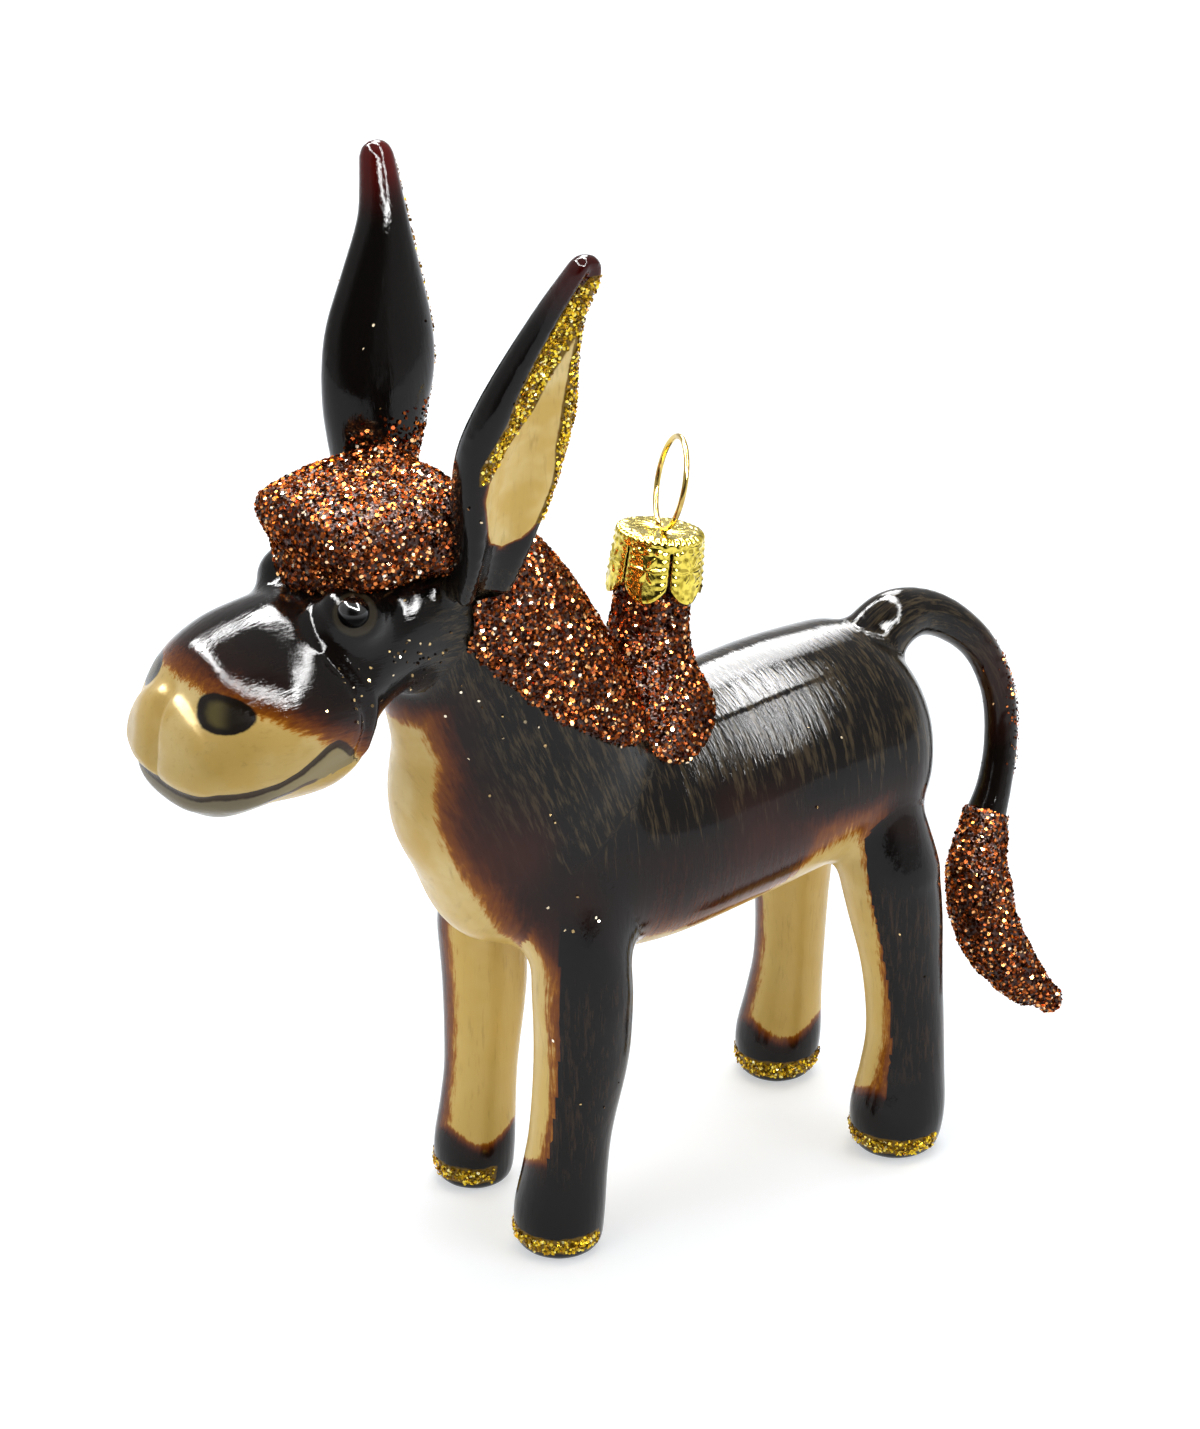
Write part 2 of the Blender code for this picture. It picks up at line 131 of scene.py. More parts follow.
# Paths of the legs and the tail: x, y, z and radius.
FRONT_LEG = (
    (-12.1, 9.4, 0.0, 4.8),
    (-12.0, 9.4, 5.0, 5.1),
    (-11.3, 9.6, 10.5, 4.75),
    (-10.6, 9.9, 16.0, 4.65),
    (-9.6, 10.6, 26.0, 5.3),
    (-9.8, 11.0, 37.0, 5.6),
    (-9.8, 10.2, 46.0, 5.4),
)
HIND_LEG = (
    (35.0, 12.7, 0.0, 5.0),
    (35.2, 12.7, 5.0, 5.6),
    (35.9, 12.6, 10.5, 5.0),
    (36.4, 12.3, 16.0, 4.6),
    (36.2, 11.6, 24.0, 4.8),
    (35.4, 10.8, 32.0, 5.6),
    (34.2, 9.6, 42.0, 6.2),
)
# Path, side, share of the path's thickness, and how far the foot is moved along and across.
LEGS = {
    "front_left": (FRONT_LEG, -1, 1.07, (0.0, 0.0)),
    "front_right": (FRONT_LEG, 1, 0.97, (0.0, 0.0)),
    "hind_left": (HIND_LEG, -1, 1.04, (0.0, 0.0)),
    "hind_right": (HIND_LEG, 1, 0.96, (-1.5, -2.3)),
}
LEG_TOP = 34.0
SHOULDER_SHRINK = (0.98, 0.80, 1.0, 0.86)      # the leg's top draws in and up into the trunk
SHOULDER_SHIFT = (0.0, 0.0, 6.0, 0.0)
SOLE = ((0.0, 0.80), (0.35, 0.89), (1.0, 0.97), (2.0, 1.0))    # height and share of the leg's radius
TAIL = (
    (38.0, 0.0, 61.0, 4.2),
    (42.0, 0.0, 63.9, 3.7),
    (46.5, 0.0, 63.9, 2.9),
    (50.8, -0.6, 61.6, 2.5),
    (54.4, -1.6, 57.6, 2.2),
    (56.2, -3.0, 52.0, 2.1),
    (55.8, -4.4, 46.0, 2.1),
    (53.8, -6.0, 41.0, 2.2),
    (51.4, -7.2, 36.8, 2.7),
    (49.7, -8.4, 31.6, 3.5),
    (50.0, -9.4, 26.2, 3.7),
    (51.6, -10.4, 21.2, 3.4),
    (54.6, -11.6, 16.6, 2.6),
    (58.6, -12.8, 12.6, 1.2),
)
TUFT_START = 0.592              # where the tuft begins, as a share of the tail's stations

HANGER_TOP = (8.6, 0.3, 84.2)
HANGER_LEAN = (0.17, 0.05, 1.0)
# The hanger, in its own frame: radius and height along the stem, then the cap and the ring of wire.
STEM = ((9.6, -28.0), (8.6, -20.5), (5.9, -16.0), (4.6, -12.0), (4.35, -8.0), (4.3, -2.8))
CAP_RADIUS = 5.15
CAP_FLARE = 0.35
CAP_HEIGHT = 5.7
CAP_WALL = 0.35
DISC_RADII = (0.02, 0.9, 1.8, 2.6, 3.3, 3.9, 4.3)
DISC_EDGE = DISC_RADII[-1]
SHOULDER_FOOT = -0.80           # height where the rounded shoulder passes into the petals
PETALS = 6
PETAL_POINT = 2.0
PETAL_TURN = math.radians(12.4)
PETAL_COLUMNS = 30
SLOT_SHARE = 0.034              # half of a slot, as a share of a petal
WIRE = 0.35
RING_RADIUS = 5.3
LEG_SPREAD = 1.2
LEG_DEPTH = 1.7
RING_TURN = math.radians(70)
RING_LEAN = 0.13

# Painted lines and borders, in side view (x, z) unless said otherwise.
MUZZLE_EDGE = ((-62.0, 84.6), (-55.3, 82.4), (-53.8, 81.7), (-52.1, 80.9), (-50.3, 80.3), (-48.4, 79.2),
               (-46.3, 77.9), (-44.0, 76.3), (-41.6, 75.2), (-39.6, 73.4), (-38.2, 72.0), (-34.0, 70.6),
               (-24.0, 70.0))
CHEEK_LINE = ((-41.6, 84.6), (-39.8, 81.6), (-38.6, 78.6), (-38.4, 75.6), (-39.2, 73.2))
MOUTH_LINE = ((-60.0, 70.0), (-58.2, 70.5), (-56.2, 71.1), (-53.1, 71.6), (-49.6, 72.0), (-47.4, 73.0),
              (-45.4, 74.4), (-43.8, 75.5), (-42.7, 75.7), (-41.8, 75.1), (-40.7, 73.8))
LOWER_LIP_LINE = ((-51.5, 69.2), (-50.4, 69.9), (-48.0, 70.4), (-46.4, 71.2), (-45.0, 71.4))
NOSTRIL = (-54.1, -7.7, 80.4)   # centre on the left side
NOSTRIL_ALONG = (0.69, -0.72, 0.06)
NOSTRIL_HALF = (3.5, 1.9)
# Half width of the cream: down the throat and chest by height, and along the belly by x.
BAND_HALF_WIDTH = ((42.0, 7.7), (49.2, 7.3), (53.4, 6.7), (57.3, 5.8), (62.0, 5.3), (66.0, 5.0), (69.5, 4.2))
BELLY_HALF_WIDTH = ((-14.0, 7.7), (-6.0, 9.0), (-1.0, 11.2), (16.0, 11.0), (19.5, 11.8), (21.5, 13.5),
                    (26.0, 13.8), (30.0, 12.6), (36.0, 9.0), (44.0, 5.0))
# Cream side of each leg: azimuth of its front border at the top and the foot, of its rear border, and the
# height of the dark hoof.
LEG_MARKS = {
    "front_left": (192.0, 209.0, 30.0, 12.6),
    "front_right": (192.0, 188.0, 335.0, 7.6),
    "hind_left": (214.0, 203.0, 35.0, 8.8),
    "hind_right": (181.0, 183.0, 330.0, 7.6),
}
# Azimuths that the gold band round each hoof runs between, and its middle's height.
GOLD_ARCS = {"front_left": (100, 301), "front_right": (60, 272), "hind_left": (100, 296),
             "hind_right": (60, 328)}
GOLD_HEIGHT = 2.35


# ---------------------------------------------------------------------------------------------------------
# Making shapes
# ---------------------------------------------------------------------------------------------------------
DOME_RINGS = 10
DOME_TIP = 0.08                 # what is left of the section's width at the tip of a dome


def smooth_rows(rows, count):
    """Catmull-Rom curve through the rows, read at evenly spaced places."""
    rows = np.array(rows, float)
    padded = np.vstack([2 * rows[0] - rows[1], rows, 2 * rows[-1] - rows[-2]])
    place = np.linspace(0, len(rows) - 1, count)
    start = np.minimum(place.astype(int), len(rows) - 2)
    t = (place - start)[:, None]
    a, b, c, d = (padded[start + k] for k in range(4))
    square, cube = 2 * a - 5 * b + 4 * c - d, 3 * b - a - 3 * c + d
    return 0.5 * (2 * b + (c - a) * t + square * t ** 2 + cube * t ** 3)


def lengths(vectors):
    return np.linalg.norm(vectors, axis=-1, keepdims=True)


def smoothstep(low, high, value):
    """0 at low, 1 at high, soft between; low may be the larger."""
    t = np.clip((value - low) / (high - low), 0, 1)
    return t * t * (3 - 2 * t)


class Spine:
    """Path of a loft with its cross-section frames and sizes."""

    def __init__(self, stations, steps, side=(0, 1, 0), axis=None):
        self.rows = smooth_rows(stations, steps)
        self.centre = self.rows[:, :3]
        if axis is None:
            along = np.gradient(self.centre, axis=0)
        else:
            along = np.tile(np.array(axis, float), (steps, 1))
        self.along = along / lengths(along)
        side = np.array(side, float)
        across = side - self.along * (self.along @ side)[:, None]
        self.across = across / lengths(across)
        self.up = np.cross(self.along, self.across)
        self.run = np.append(0, np.cumsum(lengths(np.diff(self.centre, axis=0))))

    def place(self, points):
        """Nearest station of each point, and its offset there across and up."""
        gap = ((points[:, None, :] - self.centre[None]) ** 2).sum(2)
        nearest = gap.argmin(1)
        offset = points - self.centre[nearest]
        return nearest, (offset * self.across[nearest]).sum(1), (offset * self.up[nearest]).sum(1)


def loft_rings(spine, sides, domes=(0, 0), scoop=0.0):
    """Rings of points round the spine; a dome's length rounds off an end, and 0 leaves it flat."""
    angle = np.linspace(0, 2 * math.pi, sides, endpoint=False)
    rows = [(row, 0.0, 1.0, k) for k, row in enumerate(spine.rows)]
    turn = np.linspace(0, math.acos(DOME_TIP), DOME_RINGS + 1)[1:]
    if domes[0]:
        rows = [(spine.rows[0], -domes[0] * math.sin(t), math.cos(t), 0) for t in turn[::-1]] + rows
    if domes[1]:
        rows += [(spine.rows[-1], domes[1] * math.sin(t), math.cos(t), -1) for t in turn]
    rings = []
    for row, shift, shrink, k in rows:
        power = 2 / row[5]
        wide = np.sign(np.cos(angle)) * np.abs(np.cos(angle)) ** power
        tall = np.sign(np.sin(angle)) * np.abs(np.sin(angle)) ** power
        wide = np.where(tall > 0, wide * (1 - row[6] * tall), wide)
        tall = np.where(tall > 0, tall * (1 - scoop * tall ** 4), tall)
        middle = row[:3] + spine.along[k] * shift
        rings.append(middle + np.outer(wide * row[3] * shrink, spine.across[k])
                     + np.outer(tall * row[4] * shrink, spine.up[k]))
    return np.array(rings)


def ring_faces(count, sides, first=0):
    """Quads between the rings and one face on each end."""
    faces = []
    for row in range(count - 1):
        low = first + row * sides
        for k in range(sides):
            after = (k + 1) % sides
            faces.append((low + k, low + after, low + sides + after, low + sides + k))
    faces.append(tuple(first + k for k in reversed(range(sides))))
    faces.append(tuple(first + (count - 1) * sides + k for k in range(sides)))
    return faces


def new_mesh(name, points, faces):
    """Mesh object from millimetre points."""
    mesh = bpy.data.meshes.new(name)
    mesh.from_pydata((np.array(points) * MM).tolist(), [], faces)
    mesh.update()
    item = bpy.data.objects.new(name, mesh)
    bpy.context.scene.collection.objects.link(item)
    return item


def facing_out(item):
    """The object with the faces of its closed mesh turned outwards."""
    mesh = bmesh.new()
    mesh.from_mesh(item.data)
    bmesh.ops.recalc_face_normals(mesh, faces=mesh.faces)
    mesh.to_mesh(item.data)
    mesh.free()
    return item


def smooth_shaded(item):
    item.data.shade_smooth()
    return item


def points_of(item):
    """Vertices in millimetres."""
    flat = np.zeros(len(item.data.vertices) * 3)
    item.data.vertices.foreach_get("co", flat)
    return flat.reshape(-1, 3) / MM


def move_points(item, points):
    item.data.vertices.foreach_set("co", (points * MM).ravel())
    item.data.update()


def normals_of(item):
    flat = np.zeros(len(item.data.vertices) * 3)
    item.data.vertices.foreach_get("normal", flat)
    return flat.reshape(-1, 3)


def edges_of(item):
    flat = np.zeros(len(item.data.edges) * 2, np.int32)
    item.data.edges.foreach_get("vertices", flat)
    return flat.reshape(-1, 2)


def store(item, name, values):
    """Named attribute on the points: one number each, or a vector each."""
    values = np.asarray(values, np.float32)
    kind = "FLOAT" if values.ndim == 1 else "FLOAT_VECTOR"
    attribute = item.data.attributes.new(name, kind, "POINT")
    attribute.data.foreach_set("value" if kind == "FLOAT" else "vector", values.ravel())


def applied(item):
    """The object with its modifiers turned into plain mesh."""
    done = item.evaluated_get(bpy.context.evaluated_depsgraph_get())
    mesh = bpy.data.meshes.new_from_object(done)
    item.modifiers.clear()
    old, item.data = item.data, mesh
    bpy.data.meshes.remove(old)
    return item


def relax(points, edges, weight, rounds, strength=0.5):
    """Laplacian smoothing, stronger where the weight is larger."""
    live = np.flatnonzero(weight > 0)
    inside = np.zeros(len(points), bool)
    inside[live] = True
    pairs = edges[inside[edges].any(1)]
    ends = np.concatenate([pairs[:, 0], pairs[:, 1]])
    others = np.concatenate([pairs[:, 1], pairs[:, 0]])
    keep = inside[ends]
    ends, others = ends[keep], others[keep]
    slot = np.full(len(points), -1)
    slot[live] = np.arange(len(live))
    ends = slot[ends]
    count = np.bincount(ends, minlength=len(live))[:, None]
    pull = (strength * weight[live])[:, None]
    points = points.copy()
    for _ in range(rounds):
        total = np.stack([np.bincount(ends, points[others, k], len(live)) for k in range(3)], 1)
        points[live] += pull * (total / count - points[live])
    return points


def side_distance(points, line):
    """Signed distance in side view from a line of (x, z) points, positive below or in front of it."""
    line = np.array(line, float)
    flat = points[:, [0, 2]]
    best = np.full(len(flat), 1e9)
    signed = np.zeros(len(flat))
    for start, end in zip(line, line[1:]):
        step = end - start
        t = np.clip(((flat - start) @ step) / (step @ step), 0, 1)
        gap = flat - (start + t[:, None] * step)
        size = np.hypot(*gap.T)
        side = step[0] * (flat[:, 1] - start[1]) - step[1] * (flat[:, 0] - start[0])
        nearer = size < best
        best = np.where(nearer, size, best)
        signed = np.where(nearer, -np.sign(side) * size, signed)
    return signed


def sway(points, scale, seed=0):
    """Soft random waves between about -1 and 1."""
    rng = np.random.default_rng(SEED + seed)
    total = np.zeros(len(points))
    for _ in range(6):
        way = rng.normal(size=3)
        total += np.sin(points @ (way / np.linalg.norm(way)) * 2 * math.pi / scale * rng.uniform(0.7, 1.4)
                        + rng.uniform(0, 2 * math.pi))
    return total / 3


# ---------------------------------------------------------------------------------------------------------
# The glass solids
# ---------------------------------------------------------------------------------------------------------
def leg_rows(which):
    """A leg's path in its own place, as x, y, z and radius."""
    rows, turn, thickness, (shift_x, shift_y) = LEGS[which]
    path = smooth_rows(rows, 90)
    fade = np.maximum(0, 1 - path[:, 2] / LEG_TOP) ** 0.7
    path[:, 0] += shift_x * fade
    path[:, 1] = turn * path[:, 1] + shift_y * fade
    path[:, 3] *= thickness
    return path


def tube_rows(rows):
    """Stations of a round tube from x, y, z and radius."""
    rows = np.array(rows)
    return np.column_stack([rows[:, :4], rows[:, 3], np.full(len(rows), 2.0), np.zeros(len(rows))])


def ear_spine(turn, steps=90):
    rows = [(x, turn * y, z, *rest) for x, y, z, *rest in EAR]
    return Spine(rows, steps, side=(turn, -EAR_TURN, 0))


def head_spine():
    rows = [(x, 0, (top + low) / 2, wide, (top - low) / 2, square, pinch)
            for x, top, low, wide, square, pinch in HEAD]
    return Spine(rows, 70, axis=(1, 0, 0))


def ball_rings(centre, radius, sides=40, rings=24):
    """Level rings of a ball, with a small face on each pole."""
    turn = np.linspace(-math.pi / 2 + 0.03, math.pi / 2 - 0.03, rings)
    around = np.linspace(0, 2 * math.pi, sides, endpoint=False)
    return np.array([np.column_stack([centre[0] + radius * math.cos(t) * np.cos(around),
                                      centre[1] + radius * math.cos(t) * np.sin(around),
                                      np.full(sides, centre[2] + radius * math.sin(t))]) for t in turn])


def glass_solids():
    """Closed shapes of the whole body, each with its part's name."""
    solids = [("trunk", loft_rings(Spine(TRUNK, 90), 110, TRUNK_DOMES)),
              ("neck", loft_rings(Spine(NECK, 70), 110, (0, NECK_DOME))),
              ("head", loft_rings(head_spine(), 110, HEAD_DOMES)),
              ("tail", loft_rings(Spine(tube_rows(TAIL), 200), 40, (0, 0.8)))]
    x, y, z = BROW_CENTRE
    for turn in (-1, 1):
        solids.append(("brow", ball_rings((x, turn * y, z), BROW_RADIUS)))
        solids.append(("ear_left" if turn < 0 else "ear_right",
                       loft_rings(ear_spine(turn), 72, (0, EAR_TIP_DOME), EAR_SCOOP)))
    for which in LEGS:
        path = leg_rows(which)
        heights = np.array([z for z, _ in SOLE])
        sole = np.column_stack([np.interp(heights, path[:, 2], path[:, k]) for k in range(4)])
        sole[:, 3] *= [share for _, share in SOLE]
        top = path[-1] * SHOULDER_SHRINK + SHOULDER_SHIFT
        between = (path[:, 2] > heights[-1] + 0.4) & (path[:, 2] < path[-1, 2] - 1)
        spine = Spine(tube_rows(np.vstack([sole, path[between][::4], top])), 130, axis=(0, 0, 1))
        solids.append(("leg_" + which, loft_rings(spine, 60, (0, 4.0))))
    return solids


def joined_solid(name, solids):
    """One mesh over all the solids, and the part of each of its faces."""
    points, faces, owner = [], [], []
    total = 0
    for k, (_, rings) in enumerate(solids):
        count, sides, _ = rings.shape
        added = ring_faces(count, sides, total)
        faces += added
        owner += [k] * len(added)
        points.append(rings.reshape(-1, 3))
        total += count * sides
    return new_mesh(name, np.vstack(points), faces), np.array(owner)


# ---------------------------------------------------------------------------------------------------------
# The glass skin
# ---------------------------------------------------------------------------------------------------------
# Where the glass was drawn together smoothly, on both sides: place and reach.
EASED = (((-28.5, 9.5, 78.5), 8.0), ((-33.0, 9.5, 74.0), 5.5), ((-11.5, 15.0, 47.0), 15.0))
EASE_ROUNDS = 240
# How far the joint between two parts melts together.
JOINTS = {("head", "neck"): 2.4, ("head", "brow"): 2.2, ("neck", "trunk"): 7.0, ("tail", "trunk"): 1.3,
          ("ear", "head"): 1.8, ("ear", "neck"): 1.8, ("leg_hind", "trunk"): 1.7,
          ("leg_front", "trunk"): 3.4, ("leg_front", "neck"): 3.8}


def family(part):
    """The part's name without its side: ear for ear_left, leg_front for leg_front_left."""
    return part.rsplit("_", 1)[0]


def melt_joints(points, edges, part, names):
    """Rounds the creases where two glass parts were fused, wider where the glass was drawn together more."""
    kinds = np.array([family(name) for name in names])[part]
    for pair, radius in JOINTS.items():
        first, second = kinds[edges[:, 0]], kinds[edges[:, 1]]
        seam = edges[((first == pair[0]) & (second == pair[1])) | ((first == pair[1]) & (second == pair[0]))]
        seam = np.unique(seam)
        if not len(seam):
            continue
        tree = KDTree(len(seam))
        for k in seam:
            tree.insert(points[k], int(k))
        tree.balance()
        low, high = points[seam].min(0) - radius, points[seam].max(0) + radius
        weight = np.zeros(len(points))
        for k in np.flatnonzero(((points > low) & (points < high)).all(1)):
            weight[k] = 1 - tree.find(points[k])[2] / radius
        weight = smoothstep(0, 0.8, weight)
        points = relax(points, edges, weight, int(14 * radius))
    return points


def eased(points, edges):
    """Draws the throat, the jaw's corner and the shoulder into one smooth sweep."""
    for (x, y, z), reach in EASED:
        for turn in (-1, 1):
            away = np.linalg.norm(points - (x, turn * y, z), axis=1)
            points = relax(points, edges, smoothstep(reach, reach * 0.4, away), EASE_ROUNDS)
    return points


def bump_at(points, centre, radii, height):
    """Soft bump of the given height round a centre."""
    away = (((points - np.array(centre)) / np.array(radii)) ** 2).sum(1)
    return height * np.exp(-away)


def swell(distance, centre, width):
    """1 at the centre, falling off smoothly to either side."""
    return np.exp(-((distance - centre) / width) ** 2)


def shape_face(points, normals, part_names):
    """Muzzle groove, lips, cheek creases and chin, pressed into the glass."""
    head = np.isin(part_names, ("head", "brow")) & (points[:, 0] < -33)
    x, y, z = points.T
    out = np.abs(y)
    mouth = side_distance(points, MOUTH_LINE)
    lips = smoothstep(-40.5, -43.0, x)
    push = -0.34 * swell(mouth, 0, 0.55) * lips
    push += 0.30 * swell(mouth, -1.9, 1.3) * lips * smoothstep(-44, -52, x)
    push += 0.32 * swell(mouth, 1.7, 1.0) * lips * smoothstep(-46, -54, x)
    front = smoothstep(-54.0, -57.5, x)
    groove = smoothstep(70.2, 72.5, z) * smoothstep(84.0, 79.0, z)
    pads = smoothstep(70.0, 73.5, z) * smoothstep(81.0, 76, z)
    push += (0.35 * swell(out, 3.4, 2.0) * pads - 1.0 * swell(out, 0, 0.8) * groove) * front
    cheek = side_distance(points, CHEEK_LINE)
    crease = smoothstep(86.5, 83.0, z) * smoothstep(71.5, 73.5, z) * smoothstep(6.0, 8.5, out)
    push += (0.34 * swell(cheek, -1.1, 0.8) - 0.48 * swell(cheek, 0.1, 0.6)) * crease
    push += bump_at(points * [1, 0, 1], (-56.2, 0, 67.2), (2.2, 1, 1.6), 0.7) * smoothstep(11, 7, out)
    return points + normals * (push * head)[:, None]


def band_half_width(points):
    """Half width of the cream band down the throat and chest and along the belly."""
    heights, wides = np.array(BAND_HALF_WIDTH).T
    chest = np.interp(points[:, 2], heights, wides)
    runs, belly = np.array(BELLY_HALF_WIDTH).T
    under = np.interp(points[:, 0], runs, belly)
    share = smoothstep(-16, -9, points[:, 0])
    return chest + (under - chest) * share


def cream_on_body(points):
    """Millimetres inside the cream band, negative in the dark lacquer."""
    x, y, z = points.T
    ceiling = 70.2 + (46.5 - 70.2) * smoothstep(-21, -13, x)
    return np.minimum(band_half_width(points) - np.abs(y), ceiling - z)


def cream_on_leg(points, which):
    """Millimetres inside the cream on a leg's inner side; on the left legs the amber round it is wider."""
    x, y, z = points.T
    path = leg_rows(which)
    middle = [np.interp(z, path[:, 2], path[:, k]) for k in (0, 1, 3)]
    azimuth = np.degrees(np.arctan2(y - middle[1], x - middle[0])) % 360
    top, foot, rear, hoof = LEG_MARKS[which]
    border = foot + (top - foot) * smoothstep(10, 36, z)
    side = 1 if LEGS[which][1] > 0 else -1
    inside_front = side * ((azimuth - border + 180) % 360 - 180)
    inside_rear = side * ((rear - azimuth + 180) % 360 - 180)
    across = np.minimum(inside_front, inside_rear) * math.pi / 180 * middle[2]
    if side < 0:
        out = smoothstep(2.0, 4.5, np.abs(y) - np.abs(middle[1]))
        across = across - smoothstep(hoof + 9, hoof, z) * 0.9
        across = np.where(across < 0, 0.10 * across - 0.09 * across ** 2 - 2.5 * out, across)
    edge = hoof - 0.9 * np.cos(np.radians(3 * (azimuth - border - 60)))
    upper = smoothstep(LEG_TOP + 3, LEG_TOP + 14, z)
    cream = np.minimum(across, (z - edge) * 2.5)
    return cream + (cream_on_body(points) - cream) * upper


def marks_in_ear(points, turn):
    """Millimetres inside the cream hollow of an ear and inside the gold round it."""
    spine = ear_spine(turn, 160)
    nearest, across, up = spine.place(points)
    across = -turn * across
    wide = spine.rows[nearest, 3]
    heights, front, rear, gold = np.array(EAR_MARKS).T
    front, rear, gold = (np.interp(points[:, 2], heights, edge) * wide for edge in (front, rear, gold))
    ahead = across > (front + rear) / 2
    cream = np.minimum(np.where(ahead, front - across, across - rear), points[:, 2] - heights[0])
    cream = cream + 3 * np.minimum(up, 0)
    if turn > 0:
        gold = np.minimum(gold, FAR_EAR_GOLD * wide)
    outside = np.where(ahead, across - front, rear - across) + 0.15
    start = np.where(ahead, 103.8, 97.0) + sway(points, 2.0, 21) * 0.3
    rim = np.minimum.reduce([outside, gold - across, points[:, 2] - start, 0.9 + up, 127.9 - points[:, 2]])
    return cream, rim


def cream_on_parts(points, part_names, kinds):
    """Millimetres inside the cream and the ears' gold rims, and how red the ears' tips are."""
    x, z = points[:, 0], points[:, 2]
    cream = cream_on_body(points)
    head = np.isin(kinds, ("head", "brow"))
    muzzle = side_distance(points[head], MUZZLE_EDGE)
    cream[head] = np.where(x[head] > -33, np.minimum(muzzle, 71.5 - z[head]), muzzle)
    for which in LEGS:
        here = part_names == "leg_" + which
        cream[here] = cream_on_leg(points[here], which)
    rim = np.full(len(points), -5.0)
    tip = np.zeros(len(points))
    for turn, name in ((-1, "ear_left"), (1, "ear_right")):
        here = part_names == name
        cream[here], rim[here] = marks_in_ear(points[here], turn)
        cream[here] *= 6
        tip[here] = smoothstep(122, 130, z[here]) * (1.0 if turn > 0 else 0.4)
    cream[kinds == "tail"] = -9
    return {"cream": cream, "ear_tip": tip, "ear_rim": rim}


def marks_on_face(points, head):
    """Distances from the painted lines of the mouth and lip, from the nostrils and from the eyes."""
    marks = {}
    for name, line in (("mouth", MOUTH_LINE), ("lip", LOWER_LIP_LINE)):
        marks[name] = side_distance(points, line)
        marks[name][~head] = 9
    mirror = np.where(points[:, 1] < 0, 1, -1)[:, None] ** np.array([0, 1, 0])
    along = ((points - np.array(NOSTRIL) * mirror) * (np.array(NOSTRIL_ALONG) * mirror)).sum(1)
    taper = 1 - 0.20 * np.clip(along / NOSTRIL_HALF[0], -1, 1)
    up = (points[:, 2] - NOSTRIL[2]) / (NOSTRIL_HALF[1] * taper)
    size = (np.abs(along / NOSTRIL_HALF[0]) ** 2.2 + np.abs(up) ** 2.2) ** (1 / 2.2)
    nostril = (1 - size) * NOSTRIL_HALF[1]
    nostril[~head | (points[:, 0] > -48)] = -9
    eye = [np.linalg.norm(points - (np.array(centre) + EYE_RING_SHIFT), axis=1) for centre in EYES.values()]
    marks.update(nostril=nostril, nostril_along=along, eye=np.minimum(*eye))
    return marks


def brush_strokes(points, kinds, head):
    """Coordinates for the brush's noise, drawn out the way that the brush went on each part."""
    x, y, z = points.T
    stroke = points * [2.6, 0.35, 0.32]
    stroke[head] = points[head] * [0.34, 2.2, 2.2]
    neck = kinds == "neck"
    lean = np.column_stack([x + 0.35 * z, y, z - 0.35 * x])
    stroke[neck] = lean[neck] * [2.2, 0.4, 0.3]
    legs = np.char.startswith(kinds, "leg")
    stroke[legs] = points[legs] * [2.2, 2.2, 0.26]
    ears = kinds == "ear"
    stroke[ears] = points[ears] * [1.6, 1.6, 0.2]
    tail = kinds == "tail"
    spine = Spine(tube_rows(TAIL), 300)
    nearest, across, up = spine.place(points[tail])
    stroke[tail] = np.column_stack([across * 2.0, up * 2.0, spine.run[nearest] * 0.25])
    return stroke


def glass_marks(points, part, names):
    """How far each point lies inside each marking, and the way the brush went there."""
    part_names = np.array(names)[part]
    kinds = np.array([family(name) for name in names])[part]
    head = np.isin(kinds, ("head", "brow"))
    return {**cream_on_parts(points, part_names, kinds), **marks_on_face(points, head),
            "stroke": brush_strokes(points, kinds, head)}


class GlassSkin:
    """What later pieces need of the finished skin."""
    item = points = normals = part_names = marks = None


def make_skin(settings):
    """The glass parts melted into one skin, with its face pressed in and its markings stored."""
    solids = glass_solids()
    names = [name for name, _ in solids]
    raw, owner = joined_solid("glass_raw", solids)
    tree = BVHTree.FromPolygons([tuple(p) for p in points_of(raw)],
                                [tuple(face.vertices) for face in raw.data.polygons])
    modifier = raw.modifiers.new("melt", "REMESH")
    modifier.mode = "VOXEL"
    modifier.voxel_size = settings.fineness
    item = applied(raw)
    item.name = item.data.name = "glass_skin"
    points, edges = points_of(item), edges_of(item)
    everywhere = np.ones(len(points))
    points = relax(points, edges, everywhere, 3)
    points = relax(points, edges, everywhere, 3, -0.52)       # gives back what the rounds before took off
    part = owner[[tree.find_nearest(point)[2] for point in points]]
    points = eased(melt_joints(points, edges, part, names), edges)
    points = relax(points, edges, everywhere, 4)
    move_points(item, points)
    part_names = np.array(names)[part]
    points = shape_face(points, normals_of(item), part_names)
    points[:, 2] = np.maximum(points[:, 2], 0)
    move_points(item, points)
    smooth_shaded(item)
    GlassSkin.item, GlassSkin.points, GlassSkin.part_names = item, points, part_names
    GlassSkin.normals = normals_of(item)
    GlassSkin.marks = glass_marks(points, part, names)
    GlassSkin.marks["hoof_rim"] = hoof_rims()
    for name, values in GlassSkin.marks.items():
        store(item, name, values)
    return item


